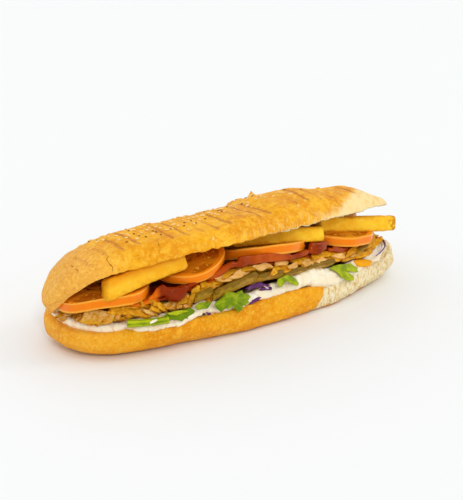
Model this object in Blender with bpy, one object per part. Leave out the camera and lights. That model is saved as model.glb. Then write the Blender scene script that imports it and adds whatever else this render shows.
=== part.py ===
"""A grilled bread roll, slit along one side and filled with shaved chicken and salad.

Metres, +Z up. The roll lies along X and its slit opens towards -Y. The origin is at
the middle of the rectangle that the sandwich covers on the table.
"""
import math

import bmesh
import bpy
from mathutils import Vector

MM = 0.001

# Driving sizes of the roll
HALF_LENGTH = 122.8 * MM
HALF_WIDTH = 42.8 * MM
PLAN_POWER = 2.8            # 2 is an ellipse, more is squarer at the ends
LIP_HEIGHT = 17 * MM        # rim of the lower half along the slit
HINGE_HEIGHT = 25 * MM      # uncut crumb that holds the halves along the back
END_RISE = 7 * MM           # the right end of the lower half turns up behind the slit
LID_SLOPE = 0.41            # rise of the upper half's cut face towards the slit
LID_MIDDLE = 39.5 * MM      # height of that cut face on the middle line
LID_HALF_LENGTH = 119.5 * MM
LID_HALF_WIDTH = 38.6 * MM
LID_SHIFT = -1.2 * MM
LID_RISE = 24.8 * MM        # crown above the cut face
LID_TAPER = -0.02           # below 0 the crown is higher towards the right end
LID_POWER = 2.4
LID_END_POWER = 1.0         # squarer crown towards the left end
LID_TIP_POWER = 0.45        # sharper crown towards the right end
LID_END_BULGE = 5.5 * MM    # the left end swells past the cut face
LID_SCOOP = 7 * MM          # crumb pressed away by the filling
BASE_ROUND = 13 * MM        # how far the flat base stays inside the side
BELLY_HEIGHT = 9.5 * MM     # where the lower half is widest
TRAY_HEIGHT = 9.5 * MM      # floor of the hollow in the lower half
FLOOR_CLEAR = 0.9 * MM      # filling above the hollow of the lower half

# Gap kept between neighbours, and mesh fineness
GAP = 0.35 * MM
LAYER_GAP = 1.0 * MM        # wider, because the layers' waves meet in flat facets
AROUND = 40
LAYER_AROUND = 56
SLICE_AROUND = 26
STICK_AROUND = 10


# ---------------------------------------------------------------- small helpers

def clear_scene():
    for thing in list(bpy.data.objects):
        bpy.data.objects.remove(thing, do_unlink=True)


def material(name, colour, roughness):
    made = bpy.data.materials.new(name)
    made.use_nodes = True
    shader = made.node_tree.nodes["Principled BSDF"]
    shader.inputs["Base Color"].default_value = (*colour, 1)
    shader.inputs["Roughness"].default_value = roughness
    shader.inputs["Metallic"].default_value = 0
    return made


def smooth(value):
    """Ease from 0 to 1 as value goes from 0 to 1."""
    held = min(max(value, 0.0), 1.0)
    return held * held * (3 - 2 * held)


def soft_max(one, other, blend):
    """The larger of two values, with the corner between them rounded off."""
    return (one + other + math.sqrt((one - other) ** 2 + blend ** 2)) / 2


def bump(value, middle, spread):
    return math.exp(-((value - middle) / spread) ** 2)


def rounded(angle, half_length, half_width):
    """Point of a squared-off ellipse."""
    c = math.cos(angle)
    s = math.sin(angle)
    x = math.copysign(abs(c) ** (2 / PLAN_POWER), c) * half_length
    y = math.copysign(abs(s) ** (2 / PLAN_POWER), s) * half_width
    return x, y


def plan_radius(x, y, half_length=HALF_LENGTH, half_width=HALF_WIDTH):
    """0 on the middle line's centre, 1 on the outline."""
    return (abs(x / half_length) ** PLAN_POWER
            + abs(y / half_width) ** PLAN_POWER) ** (1 / PLAN_POWER)


def keep_inside(x, y, limit=0.93):
    """Pull a point back inside the roll's plan outline."""
    reach = plan_radius(x, y)
    if reach <= limit:
        return x, y
    return x * limit / reach, y * limit / reach


def fan(body, row):
    """Close a ring with triangles to its centre."""
    count = len(row)
    centre = body.verts.new(sum((v.co for v in row), Vector()) / count)
    for i in range(count):
        body.faces.new((row[i], row[(i + 1) % count], centre))


def ladder(body, row):
    """Close a long ring with rungs from its one long side to the other."""
    count = len(row)
    half = count // 2
    body.faces.new((row[0], row[1], row[count - 1]))
    for i in range(1, half - 1):
        body.faces.new((row[i], row[i + 1], row[count - i - 1], row[count - i]))
    body.faces.new((row[half - 1], row[half], row[half + 1]))


def skin(name, rings, finish, close=None):
    """Join rings of points into one closed body. By default a fan closes each end."""
    close = close or fan
    mesh = bpy.data.meshes.new(name)
    body = bmesh.new()
    rows = [[body.verts.new(point) for point in ring] for ring in rings]
    count = len(rows[0])
    for low, high in zip(rows, rows[1:]):
        for i in range(count):
            j = (i + 1) % count
            body.faces.new((low[i], low[j], high[j], high[i]))
    for row in (rows[0], rows[-1]):
        close(body, row)
    bmesh.ops.recalc_face_normals(body, faces=body.faces)
    bmesh.ops.triangulate(body, faces=body.faces)
    body.to_mesh(mesh)
    body.free()
    mesh.shade_smooth()
    mesh.set_sharp_from_angle(angle=math.radians(50))
    thing = bpy.data.objects.new(name, mesh)
    thing.data.materials.append(finish)
    bpy.context.scene.collection.objects.link(thing)
    return thing


def guide(thing):
    """Mark an object that only shapes another one."""
    thing.hide_render = True
    thing.display_type = "WIRE"
    return thing


def boolean(target, other, operation):
    change = target.modifiers.new(f"{operation.lower()} {other.name}", "BOOLEAN")
    change.operation = operation
    change.solver = "EXACT"
    change.object = guide(other)


# ---------------------------------------------------------------- the bread roll

def lower_lip(x, y):
    """Rim of the lower half: low along the slit, rising to the hinge at the back."""
    hinge = (HINGE_HEIGHT - LIP_HEIGHT) * smooth((y - 8 * MM) / (28 * MM))
    end = END_RISE * smooth((x - 92 * MM) / (28 * MM)) * smooth((y + 34 * MM) / (34 * MM))
    return LIP_HEIGHT + hinge + end


def cut_height(x, y):
    """Cut face of the upper half. It dips to meet the lower half at the left end."""
    from_end = x + HALF_LENGTH
    dip = max(15 * MM, 16 * MM + 0.52 * (y + 9 * MM))
    return LID_MIDDLE - LID_SLOPE * y - dip * math.exp(-max(from_end, 0) / (8 * MM))


def lid_underside(x, y):
    reach = plan_radius(x, y - LID_SHIFT, LID_HALF_LENGTH, LID_HALF_WIDTH)
    return cut_height(x, y) + LID_SCOOP * max(0.0, 1 - reach ** 4)


def tray_floor(x, y):
    """Hollow top of the lower half."""
    rim = lower_lip(x, y)
    return TRAY_HEIGHT + (rim - TRAY_HEIGHT) * smooth((plan_radius(x, y) - 0.5) / 0.42)


def lower_half(finish):
    rings = []
    steps = 5
    for step in range(steps + 1):
        turn = math.radians(90) * step / steps
        inset = BASE_ROUND * (1 - math.sin(turn))
        height = BELLY_HEIGHT * (1 - math.cos(turn))
        rings.append([(*rounded(a, HALF_LENGTH - inset, HALF_WIDTH - inset), height)
                      for a in ring_angles()])
    for inset, drop in ((0.3, 4), (1.4, 0.8), (3, 0)):
        rings.append([rim_point(a, inset * MM, drop * MM) for a in ring_angles()])
    for scale in (0.89, 0.84, 0.78, 0.71, 0.63, 0.55, 0.46):
        rings.append([floor_point(a, scale) for a in ring_angles()])
    return skin("bread_roll", rings, finish)


def ring_angles(count=AROUND):
    return [math.tau * i / count for i in range(count)]


def even_angles(count, half_length, half_width):
    """Angles that space the points of a squared-off ellipse evenly."""
    fine = ring_angles(720)
    spots = [Vector(rounded(a, half_length, half_width)) for a in fine]
    walked = 0.0
    chosen = []
    total = sum((spots[i] - spots[i - 1]).length for i in range(len(spots)))
    for i, angle in enumerate(fine):
        if walked >= total * len(chosen) / count:
            chosen.append(angle)
        walked += (spots[(i + 1) % len(spots)] - spots[i]).length
    return chosen[:count]


def rim_point(angle, inset, drop):
    x, y = rounded(angle, HALF_LENGTH - inset, HALF_WIDTH - inset)
    return x, y, lower_lip(x, y) - drop


def floor_point(angle, scale):
    x, y = rounded(angle, HALF_LENGTH * scale, HALF_WIDTH * scale)
    return x, y, tray_floor(x, y)


def lid_point(angle, scale, rise):
    """Point of the upper half, lifted square to its tilted cut face."""
    x, y = rounded(angle, LID_HALF_LENGTH * scale, LID_HALF_WIDTH * scale)
    y += LID_SHIFT
    tilt = math.atan(LID_SLOPE)
    return x, y + rise * math.sin(tilt), cut_height(x, y) + rise * math.cos(tilt)


def crown_point(angle, scale):
    """Point of the crust on the upper half."""
    power = LID_POWER + LID_END_POWER * max(0.0, -math.cos(angle)) ** 6
    power -= LID_TIP_POWER * max(0.0, math.cos(angle)) ** 6
    x, y = rounded(angle, LID_HALF_LENGTH * scale, LID_HALF_WIDTH * scale)
    taper = 1 - LID_TAPER * x / LID_HALF_LENGTH
    rise = LID_RISE * taper * (1 - scale ** power) ** (1 / power)
    x, y, z = lid_point(angle, scale, rise)
    swell = smooth(rise / (11 * MM)) * math.exp(-(x + LID_HALF_LENGTH) / (14 * MM))
    return x - LID_END_BULGE * swell, y, z


def upper_half(finish):
    rings = [[lid_point(a, scale, LID_SCOOP * (1 - scale ** 4)) for a in ring_angles()]
             for scale in (0.3, 0.55, 0.78, 0.92)]
    for scale in (1.0, 0.992, 0.96, 0.9, 0.8, 0.66, 0.48, 0.25):
        rings.append([crown_point(a, scale) for a in ring_angles()])
    return skin("upper_half", rings, finish)


def back_hinge(finish):
    """The uncut strip along the back that joins the two halves."""
    rings = []
    steps = 14
    for step in range(steps + 1):
        x = (-0.955 + 1.66 * step / steps) * HALF_LENGTH
        half = HALF_WIDTH * (1 - abs(x / HALF_LENGTH) ** PLAN_POWER) ** (1 / PLAN_POWER)
        swell = math.sqrt(max(0.05, 1 - abs(2 * step / steps - 1) ** 6))
        middle = Vector((x, half - 6.6 * MM, HINGE_HEIGHT + 1 * MM))
        rings.append([middle + Vector((0, 6.4 * MM * swell * math.cos(a),
                                       9.5 * MM * swell * math.sin(a)))
                      for a in ring_angles(14)])
    return skin("back_hinge", rings, finish)


def bread_roll():
    crust = material("crust", (0.82, 0.45, 0.12), 0.55)
    roll = lower_half(crust)
    boolean(roll, upper_half(crust), "UNION")
    boolean(roll, back_hinge(crust), "UNION")
    return roll


# ---------------------------------------------------------------- layers and heaps

class Layer:
    """A closed layer between two height functions, with a soft bulging edge."""

    def __init__(self, name, middle, half_length, half_width, floor, top, bulge=0.6,
                 inside=0.93):
        self.name = name
        self.middle = Vector((*middle, 0)) * MM
        self.half_length = half_length * MM
        self.half_width = half_width * MM
        self.floor = floor
        self.top = top
        self.bulge = bulge * MM
        self.inside = inside

    def place(self, angle, outward):
        x, y = rounded(angle, self.half_length + outward, self.half_width + outward)
        wave = 1 + 0.02 * math.sin(7 * angle + self.half_length * 900)
        return keep_inside(self.middle.x + x * wave, self.middle.y + y * wave,
                           self.inside)

    def ring(self, inset, outward, share, lift):
        """Points at a share of the way from the floor to the top."""
        points = []
        for a in even_angles(LAYER_AROUND, self.half_length, self.half_width):
            x, y = self.place(a, outward - inset * self.half_width)
            low = self.floor(x, y)
            points.append((x, y, low + (self.top(x, y) - low) * share + lift))
        return points

    def build(self, finish, name, grow=0.0):
        rings = [self.ring(inset, grow, 0, -grow) for inset in (0.7, 0.35, 0.02)]
        rings.append(self.ring(0, self.bulge + grow, 0.5, 0))
        rings += [self.ring(inset, grow, 1, grow) for inset in (0.02, 0.2, 0.45, 0.7)]
        return skin(name, rings, finish, ladder)


def front_share(x, y):
    """1 along the slit, 0 towards the back and at the left end."""
    return smooth((-12 * MM - y) / (20 * MM)) * smooth((x + 122 * MM) / (16 * MM))


def sauce_level(x, y):
    """Garlic sauce without its folds: thin at the back, thick along the slit."""
    dollop = 3.5 * MM * bump(x, 30 * MM, 17 * MM) + 1.5 * MM * bump(x, 0, 12 * MM)
    thin = soft_max(tray_floor(x, y) + 2.2 * MM, 14.5 * MM, 3 * MM)
    return thin + front_share(x, y) * (3.2 * MM + dollop)


def sauce_top(x, y):
    folds = 1 - 0.6 * math.sin(x / (7 * MM)) - 0.4 * math.sin(x / (3.7 * MM) + 1)
    return sauce_level(x, y) - front_share(x, y) * 0.7 * MM * folds


def cabbage_share(x):
    """1 where shredded cabbage lies on the sauce, 0 towards the left end."""
    return smooth((x + 50 * MM) / (18 * MM))


def cabbage_floor(x, y):
    return sauce_level(x, y) + LAYER_GAP


def cabbage_top(x, y):
    hollows = 1 + math.sin(x / (3.1 * MM)) * math.sin(y / (4.3 * MM))
    thickness = 3 * MM - 0.45 * MM * hollows
    return cabbage_floor(x, y) + cabbage_share(x) * thickness


def chicken_floor(x, y):
    return cabbage_floor(x, y) + cabbage_share(x) * (3 * MM + LAYER_GAP)


# Height of the sliced meat along the slit, as (x, height) stops in millimetres
MEAT_FRONT = ((-122, 16), (-108, 24.5), (-94, 28.2), (-64, 28.8), (-46, 32), (-24, 36),
              (-8, 35.6), (14, 34), (44, 31), (62, 30.2), (80, 28.4), (106, 26.2))


def along(x, stops):
    """Read a smooth profile given as stops."""
    place = x / MM
    if place <= stops[0][0]:
        return stops[0][1] * MM
    for (x0, z0), (x1, z1) in zip(stops, stops[1:]):
        if place <= x1:
            return (z0 + (z1 - z0) * smooth((place - x0) / (x1 - x0))) * MM
    return stops[-1][1] * MM


def chicken_top(x, y):
    """Below the tomato along the slit, up to the upper half behind it."""
    middle_slice = smooth((x / MM + 36) / 18) * (1 - smooth((x / MM - 44) / 18))
    front = along(x, MEAT_FRONT) - 0.26 * middle_slice * (y + 38 * MM)
    clear = (2.6 + 11 * smooth((x / MM - 36) / 22)) * MM
    back = lid_underside(x, y) - clear
    step = 3 * MM + 6 * MM * smooth((-46 * MM - x) / (20 * MM))
    share = smooth((y - step) / (9 * MM))
    height = front + (back - front) * share
    return max(chicken_floor(x, y) + 1.5 * MM, min(height, back))


def ketchup_floor(x, y):
    return chicken_top(x, y) + LAYER_GAP


def ketchup_top(x, y):
    return ketchup_floor(x, y) + 2.2 * MM


def sauce_floor(x, y):
    return tray_floor(x, y) + FLOOR_CLEAR


SAUCE = Layer("garlic_sauce", (0, -6), 110, 32, sauce_floor, sauce_top, inside=0.905)
CABBAGE = Layer("red_cabbage", (34, -6.5), 70, 28.5, cabbage_floor, cabbage_top)
CHICKEN = Layer("chicken", (-4, -6), 108, 30, chicken_floor, chicken_top, bulge=1)
KETCHUP = Layer("ketchup", (-12, -20), 84, 15.5, ketchup_floor, ketchup_top, bulge=1.2)


# ---------------------------------------------------------------- tomato slices

def half_moon(angle, half_length, half_width, depth):
    """Outline of a halved slice: round along the slit, cut straight behind."""
    x = half_length * math.cos(angle)
    y = half_width * math.sin(angle)
    return x, min(y, depth)


class Slice:
    """A tomato slice, tilted by its slopes along X and Y, and bent at its left end."""

    def __init__(self, name, middle, half_length, half_width, depth, slope, thickness,
                 droop=0.0):
        self.name = name
        self.middle = Vector(middle) * MM
        self.half_length = half_length * MM
        self.half_width = half_width * MM
        self.depth = depth * MM
        self.slope = slope
        self.thickness = thickness * MM
        self.droop = droop * MM

    def underside(self, x, y):
        rise = self.slope[0] * (x - self.middle.x) + self.slope[1] * (y - self.middle.y)
        sag = self.droop * math.exp(-(x + HALF_LENGTH) / (6 * MM))
        return self.middle.z + rise - sag

    def ring(self, scale, level, grow):
        points = []
        for a in ring_angles(SLICE_AROUND):
            x, y = half_moon(a, self.half_length + grow, self.half_width + grow,
                             self.depth + grow)
            lobes = 1 + 0.01 * math.sin(3 * a + self.middle.x * 60)
            centre_y = self.middle.y + (self.depth - self.half_width) / 2
            x = self.middle.x + x * scale * lobes
            y = centre_y + (self.middle.y + y * lobes - centre_y) * scale
            x, y = keep_inside(x, y, 0.955)
            points.append((x, y, self.underside(x, y) + level))
        return points

    def build(self, finish, name, grow=0.0):
        low = -grow
        high = self.thickness + grow
        edge = 0.16 * self.thickness
        rings = [self.ring(0.5, low, grow), self.ring(0.965, low, grow)]
        rings.append(self.ring(0.995, low + edge, grow))
        rings.append(self.ring(1.0, (low + high) / 2, grow))
        rings.append(self.ring(0.995, high - edge, grow))
        rings += [self.ring(0.965, high, grow), self.ring(0.5, high, grow)]
        return skin(name, rings, finish)


TOMATO_SLICES = (
    Slice("tomato_1", (-95.5, -5, 32.6), 29, 28.5, 6, (0.02, 0.0), 4.2, droop=23),
    Slice("tomato_2", (-41.5, -13, 41.6), 22.5, 25, 0, (0.22, 0.13), 5.2),
    Slice("tomato_3", (13, -13, 33.2), 31, 25.5, 0, (-0.10, -0.33), 6.5),
    Slice("tomato_4", (73, -12, 33.5), 26.5, 26, 0, (-0.125, 0.0), 6),
    Slice("tomato_5", (84, 6, 31.8), 20.5, 19.5, 17, (0.0, -0.41), 5),
)


# ---------------------------------------------------------------- sticks and slabs

class Stick:
    """A long piece with a rounded box section, given by its lower front edge."""

    def __init__(self, name, start, end, width, height, roll, power=4.0, bow=0.0,
                 end_round=0.12):
        self.name = name
        self.start = Vector(start) * MM
        self.end = Vector(end) * MM
        self.width = width * MM
        self.height = height * MM
        self.roll = math.radians(roll)
        self.power = power
        self.bow = bow * MM
        self.end_round = end_round

    def build(self, finish, name, grow=0.0):
        axis = (self.end - self.start).normalized()
        level = Vector((0, 0, 1)).cross(axis).normalized()
        upright = axis.cross(level)
        across = level * math.cos(self.roll) - upright * math.sin(self.roll)
        over = level * math.sin(self.roll) + upright * math.cos(self.roll)
        heart = across * self.width / 2 + over * self.height / 2
        first = self.start - axis * grow
        last = self.end + axis * grow
        rings = []
        for share, size in self.stations():
            middle = first.lerp(last, share) + heart
            middle += over * self.bow * math.sin(math.pi * share)
            rings.append([middle + self.section(a, across, over, size, grow)
                          for a in ring_angles(STICK_AROUND)])
        return skin(name, rings, finish)

    def stations(self):
        tip = self.end_round * self.height / (self.end - self.start).length
        return ((0, 0.82), (tip, 0.96), (0.2, 1), (0.4, 1.02), (0.6, 0.98), (0.8, 1),
                (1 - tip, 0.96), (1, 0.82))

    def section(self, angle, across, over, size, grow):
        c = math.cos(angle + math.pi / STICK_AROUND)
        s = math.sin(angle + math.pi / STICK_AROUND)
        sideways = math.copysign(abs(c) ** (2 / self.power), c)
        upwards = math.copysign(abs(s) ** (2 / self.power), s)
        return (across * sideways * (self.width / 2 * size + grow)
                + over * upwards * (self.height / 2 * size + grow))


FRIES = (
    Stick("fry_1", (-108, -29.5, 37.6), (-55, -33.5, 46.6), 9.5, 9, 18, bow=0.4),
    Stick("fry_2", (-8, -16, 44.8), (44, -37.5, 44.4), 8.5, 7.2, 18, bow=0.3),
    Stick("fry_3", (58, -21.5, 43.6), (105, -34, 38), 9, 7.6, 14, bow=-0.4),
)

PICKLES = (
    Stick("pickle_1", (-38, -36, 24), (-7, -35.5, 30), 3.6, 9.5, -38, power=2.5),
    Stick("pickle_2", (-52, -36.2, 25), (-40, -36.2, 26.5), 3.4, 8, -32, power=2.5),
    Stick("pickle_3", (-6, -34.8, 29.5), (12, -35, 28), 3.2, 6, -40, power=2.5),
    Stick("pickle_4", (14, -34.6, 27.5), (31, -34.6, 26.5), 3.2, 5, -50, power=2.5),
    Stick("pickle_5", (34, -34.6, 27.2), (54, -34, 25), 3.2, 5, -52, power=2.5),
    Stick("pickle_6", (-110, -25, 22.5), (-102.5, -29, 22.5), 3.4, 5, -30, power=2.5),
    Stick("pickle_7", (76, -33, 25.5), (91, -28, 26), 3.2, 5, -40, power=2.5),
)

SMALL_PIECES = (
    Stick("carrot_slice", (76, -34.4, 18.6), (87, -31.2, 18.6), 6, 3, -25, power=2.3),
    Stick("green_stem", (-101, -30, 20.4), (-73, -37.6, 19.8), 5.5, 4.5, 0, power=2.2),
)


# ---------------------------------------------------------------- assembly

def grown(piece, number):
    """Copy of a piece, larger all round by the gap, to clear room in a neighbour."""
    spare = bpy.data.materials.get("cutter") or material("cutter", (1, 0, 0), 1)
    return piece.build(spare, f"room_{number}_{piece.name}", grow=GAP)


def clear_room(target, pieces):
    for number, piece in enumerate(pieces):
        boolean(target, grown(piece, f"{target.name}_{number}"), "DIFFERENCE")


def main():
    clear_scene()
    bread_roll()
    sauce = SAUCE.build(material("sauce", (0.95, 0.86, 0.74), 0.35), "garlic_sauce")
    cabbage = CABBAGE.build(material("cabbage", (0.18, 0.05, 0.22), 0.4), "red_cabbage")
    meat = CHICKEN.build(material("meat", (0.72, 0.42, 0.16), 0.5), "chicken")
    KETCHUP.build(material("ketchup", (0.36, 0.02, 0.01), 0.18), "ketchup")
    tomato_red = material("tomato", (0.78, 0.16, 0.05), 0.25)
    gold = material("fried_potato", (0.9, 0.55, 0.12), 0.5)
    olive = material("pickle", (0.24, 0.19, 0.04), 0.3)
    green = material("stem", (0.25, 0.45, 0.02), 0.35)
    orange = material("carrot", (0.95, 0.35, 0.02), 0.35)
    for piece in TOMATO_SLICES:
        piece.build(tomato_red, piece.name)
    for piece in FRIES:
        piece.build(gold, piece.name)
    for piece in PICKLES:
        piece.build(olive, piece.name)
    for piece, finish in zip(SMALL_PIECES, (orange, green)):
        piece.build(finish, piece.name)
    clear_room(meat, PICKLES + SMALL_PIECES)
    clear_room(cabbage, PICKLES + SMALL_PIECES)
    clear_room(sauce, PICKLES + SMALL_PIECES)


main()
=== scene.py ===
# %% [markdown]
# # A grilled sandwich roll with a salad and chicken filling
# A long bread roll is slit along one side, filled in layers and pressed on a ribbed grill.
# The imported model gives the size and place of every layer. This lesson builds the look
# around it: each node is replaced by a finer piece of the same size in the same place.
# Blender works in metres, but food is easier to think about in millimetres, so the
# helpers take millimetres and turn them into metres when a mesh is made.

import math

import bpy
import numpy as np
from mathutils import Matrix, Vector
from mathutils.bvhtree import BVHTree


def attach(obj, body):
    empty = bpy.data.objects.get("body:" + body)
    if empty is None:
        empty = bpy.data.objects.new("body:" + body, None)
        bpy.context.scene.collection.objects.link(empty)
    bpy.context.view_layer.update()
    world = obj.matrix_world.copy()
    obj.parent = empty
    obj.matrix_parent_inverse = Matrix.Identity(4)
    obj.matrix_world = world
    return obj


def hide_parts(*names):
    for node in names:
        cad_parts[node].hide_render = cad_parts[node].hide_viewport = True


MM = 0.001
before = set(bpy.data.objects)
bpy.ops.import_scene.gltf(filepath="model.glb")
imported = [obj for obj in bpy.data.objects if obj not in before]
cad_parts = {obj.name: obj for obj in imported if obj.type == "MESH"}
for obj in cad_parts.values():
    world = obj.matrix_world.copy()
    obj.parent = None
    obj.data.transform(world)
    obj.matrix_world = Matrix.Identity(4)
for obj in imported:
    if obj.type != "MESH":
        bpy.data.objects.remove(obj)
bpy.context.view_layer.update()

# %% [markdown]
# ## The camera comes first
# A long lens from the front left, a little above the roll. Small toppings are easiest to
# lay out from here, so a spot of the 463 x 500 picture frame is turned into a real place:
# the point where the line of sight crosses an upright plane y = depth, or a level plane
# z = height, in millimetres. Whatever is placed this way still rests on the layer it
# belongs to.

# %% The camera
FRAME_WIDTH = 463
FRAME_HEIGHT = 500
AZIMUTH = math.radians(-37.4)
ELEVATION = math.radians(19.4)
DISTANCE = 0.95
LENS = 112
SENSOR = 36
NEAREST = 0.01
TARGET = Vector((0.003, 0, 0.0355))

away = Vector((math.sin(AZIMUTH) * math.cos(ELEVATION),
               -math.cos(AZIMUTH) * math.cos(ELEVATION), math.sin(ELEVATION)))
eye = TARGET + away * DISTANCE
gaze = away.to_track_quat("Z", "Y")
lens = bpy.data.cameras.new("camera")
lens.lens = LENS
lens.sensor_width = SENSOR
lens.clip_start = NEAREST
camera = bpy.data.objects.new("camera", lens)
camera.location = eye
camera.rotation_euler = gaze.to_euler()
bpy.context.scene.collection.objects.link(camera)
bpy.context.scene.camera = camera


def sight(across, down):
    """Direction of the line of sight through a spot of the picture frame."""
    spot = Vector((across - FRAME_WIDTH / 2, FRAME_HEIGHT / 2 - down,
                   -LENS / SENSOR * FRAME_HEIGHT))
    return (gaze @ spot).normalized()


def crossing(across, down, axis, value):
    """Where the line of sight reaches a value of one axis, in millimetres."""
    direction = sight(across, down)
    reach = (value * MM - eye[axis]) / direction[axis]
    return np.array(eye + direction * reach) / MM


def at_depth(across, down, depth):
    return crossing(across, down, 1, depth)


def at_height(across, down, height):
    return crossing(across, down, 2, height)


print("camera at", tuple(round(v, 3) for v in eye))

# %% [markdown]
# ## Small mathematical helpers
# Everything organic here is a smooth form plus some unevenness. `climb`, `fall` and `bump`
# say where something begins and ends. `cloud` is a soft random field in space, worked out
# for a whole array of points at once. It always gives the same values, so the roll bakes
# the same way each time.

# %% Smooth steps, profiles and clouds
def smooth(value):
    held = np.clip(value, 0.0, 1.0)
    return held * held * (3 - 2 * held)


def climb(value, start, length):
    """0 up to the start, 1 from start + length on."""
    return smooth((value - start) / length)


def fall(value, end, length):
    """1 up to end - length, 0 from the end on."""
    return smooth((end - value) / length)


def bump(value, middle, spread):
    return np.exp(-((np.asarray(value) - middle) / spread) ** 2)


def soft_max(one, other, blend):
    """The larger of two values, with the corner between them rounded off."""
    return (one + other + np.sqrt((one - other) ** 2 + blend ** 2)) / 2


def along(x, stops):
    """Read a smooth profile given as (place, value) stops."""
    places, values = np.array(stops, float).T
    x = np.clip(np.asarray(x, float), places[0], places[-1])
    left = np.clip(np.searchsorted(places, x, side="right") - 1, 0, len(stops) - 2)
    share = smooth((x - places[left]) / (places[left + 1] - places[left]))
    return values[left] + (values[left + 1] - values[left]) * share


def corner_value(corner, seed):
    """A fixed number from -1 to 1 for each corner of a grid in space.

    The large odd numbers only scramble the bits of the corner's place.
    """
    mixed = (corner[:, 0] * 73856093) ^ (corner[:, 1] * 19349663) ^ (corner[:, 2] * 83492791)
    mixed = (mixed ^ (seed * 668265263)) & 0x7FFFFFFF
    mixed = ((mixed ^ (mixed >> 13)) * 1274126177) & 0x7FFFFFFF
    mixed = ((mixed ^ (mixed >> 16)) * 668265263) & 0x7FFFFFFF
    return mixed / 0x3FFFFFFF - 1


OCTAVE_STEP = 31.7      # moves each finer octave and each seed to other grid corners
SEED_STEP = 7.3
CLOUD_GAIN = 1.6


def cloud(points, size, seed=0, octaves=2):
    """A soft random field: lumps of about the given size, from -1 to 1."""
    points = np.asarray(points, float)
    total = np.zeros(len(points))
    strength = 1.0
    whole = 0.0
    for octave in range(octaves):
        spot = points / size * 2 ** octave + OCTAVE_STEP * octave + SEED_STEP * seed
        base = np.floor(spot).astype(np.int64)
        part = smooth(spot - base)
        for corner in np.ndindex(2, 2, 2):
            weight = np.prod(np.where(corner, part, 1 - part), axis=1)
            total += strength * weight * corner_value(base + corner, seed + octave)
        whole += strength
        strength *= 0.5
    return total / whole * CLOUD_GAIN


def wobble(points, *fields):
    """A shift of each point along x, y and z, from a cloud's size and seed for each."""
    return np.stack([cloud(points, size, seed) for size, seed in fields], axis=1)


# %% [markdown]
# ## Making meshes
# A `Pile` gathers closed shapes and turns them into one mesh. Each shape may bring named
# values for its points, such as how brown it is there, and the materials read them as
# attributes. `melt` fuses overlapping shapes into one skin with a voxel remesh, which is
# how dough, sauce and ketchup get their soft joins. A boolean union would keep every
# corner sharp. `stand_for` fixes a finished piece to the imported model.

# %% Piles, lofts and melting
def into_scene(name, mesh, finish=None):
    if finish:
        mesh.materials.append(finish)
    thing = bpy.data.objects.new(name, mesh)
    bpy.context.scene.collection.objects.link(thing)
    return thing


class Pile:
    """Closed shapes gathered into one joined mesh, with values for the materials."""

    def __init__(self):
        self.points = []
        self.faces = []
        self.values = {}
        self.count = 0

    def add(self, points, faces, **values):
        self.points.append(np.asarray(points, float))
        self.faces += [tuple(i + self.count for i in face) for face in faces]
        for label in dict.fromkeys([*self.values, *values]):
            column = self.values.setdefault(label, [np.zeros(self.count)])
            column.append(np.zeros(len(points)) + values.get(label, 0.0))
        self.count += len(points)

    def build(self, name, finish=None):
        mesh = bpy.data.meshes.new(name)
        mesh.from_pydata((np.concatenate(self.points) * MM).tolist(), [], self.faces)
        for label, columns in self.values.items():
            write_values(mesh, label, np.concatenate(columns))
        mesh.shade_smooth()
        return into_scene(name, mesh, finish)


def write_values(mesh, label, values):
    layer = mesh.attributes.new(label, "FLOAT", "POINT")
    layer.data.foreach_set("value", np.asarray(values, np.float32))


def read_points(mesh):
    """Points and outward directions of a mesh, the points in millimetres."""
    columns = []
    for kind in ("co", "normal"):
        column = np.zeros(len(mesh.vertices) * 3, np.float32)
        mesh.vertices.foreach_get(kind, column)
        columns.append(column.reshape(-1, 3).astype(float))
    return columns[0] / MM, columns[1]


def write_points(mesh, points):
    mesh.vertices.foreach_set("co", (points * MM).astype(np.float32).ravel())
    mesh.update()


def ring_angles(count):
    return np.arange(count) * math.tau / count


def squared_circle(angles, power):
    """Points of a unit circle, squared off more as the power rises above 2."""
    c = np.cos(angles)
    s = np.sin(angles)
    return (np.copysign(np.abs(c) ** (2 / power), c), np.copysign(np.abs(s) ** (2 / power), s))


def outward(points, faces):
    """The same faces, turned so that the body's volume comes out positive."""
    corners = [(face[0], face[i], face[i + 1]) for face in faces
               for i in range(1, len(face) - 1)]
    a, b, c = points[np.array(corners).T]
    volume = np.einsum("ij,ij->", a, np.cross(b, c))
    return faces if volume > 0 else [tuple(reversed(face)) for face in faces]


def loft(rings):
    """Points and faces of a closed body through rings of points, with a fan at each end."""
    rings = np.asarray(rings, float)
    rows, count = rings.shape[:2]
    points = np.concatenate([rings.reshape(-1, 3), [rings[0].mean(0)], [rings[-1].mean(0)]])
    sides = [(i, (i + 1) % count) for i in range(count)]
    faces = []
    for row in range(0, (rows - 1) * count, count):
        for i, j in sides:
            faces.append((row + i, row + j, row + count + j, row + count + i))
    last_row = (rows - 1) * count
    first = rows * count
    for i, j in sides:
        faces.append((j, i, first))
        faces.append((last_row + i, last_row + j, first + 1))
    return points, outward(points, faces)


def loft_values(rows, count, around, ends=(0, 0)):
    """A value for each point of a loft, from a row or column of them and its two ends."""
    return np.append((np.ones((count, around)) * rows).ravel(), ends)


def melt(pile, name, voxel, rounds, finish=None):
    """Fuse a pile's overlapping shapes into one smooth skin."""
    rough = pile.build(name + "_rough")
    fuse = rough.modifiers.new("fuse", "REMESH")
    fuse.mode = "VOXEL"
    fuse.voxel_size = voxel * MM
    fuse.use_smooth_shade = True
    ease = rough.modifiers.new("ease", "SMOOTH")
    ease.factor = 0.5
    ease.iterations = rounds
    scene_state = bpy.context.evaluated_depsgraph_get()
    mesh = bpy.data.meshes.new_from_object(rough.evaluated_get(scene_state))
    mesh.name = name
    bpy.data.objects.remove(rough)
    mesh.materials.clear()
    print(name, "fused to", len(mesh.polygons), "faces")
    return into_scene(name, mesh, finish)


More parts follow.
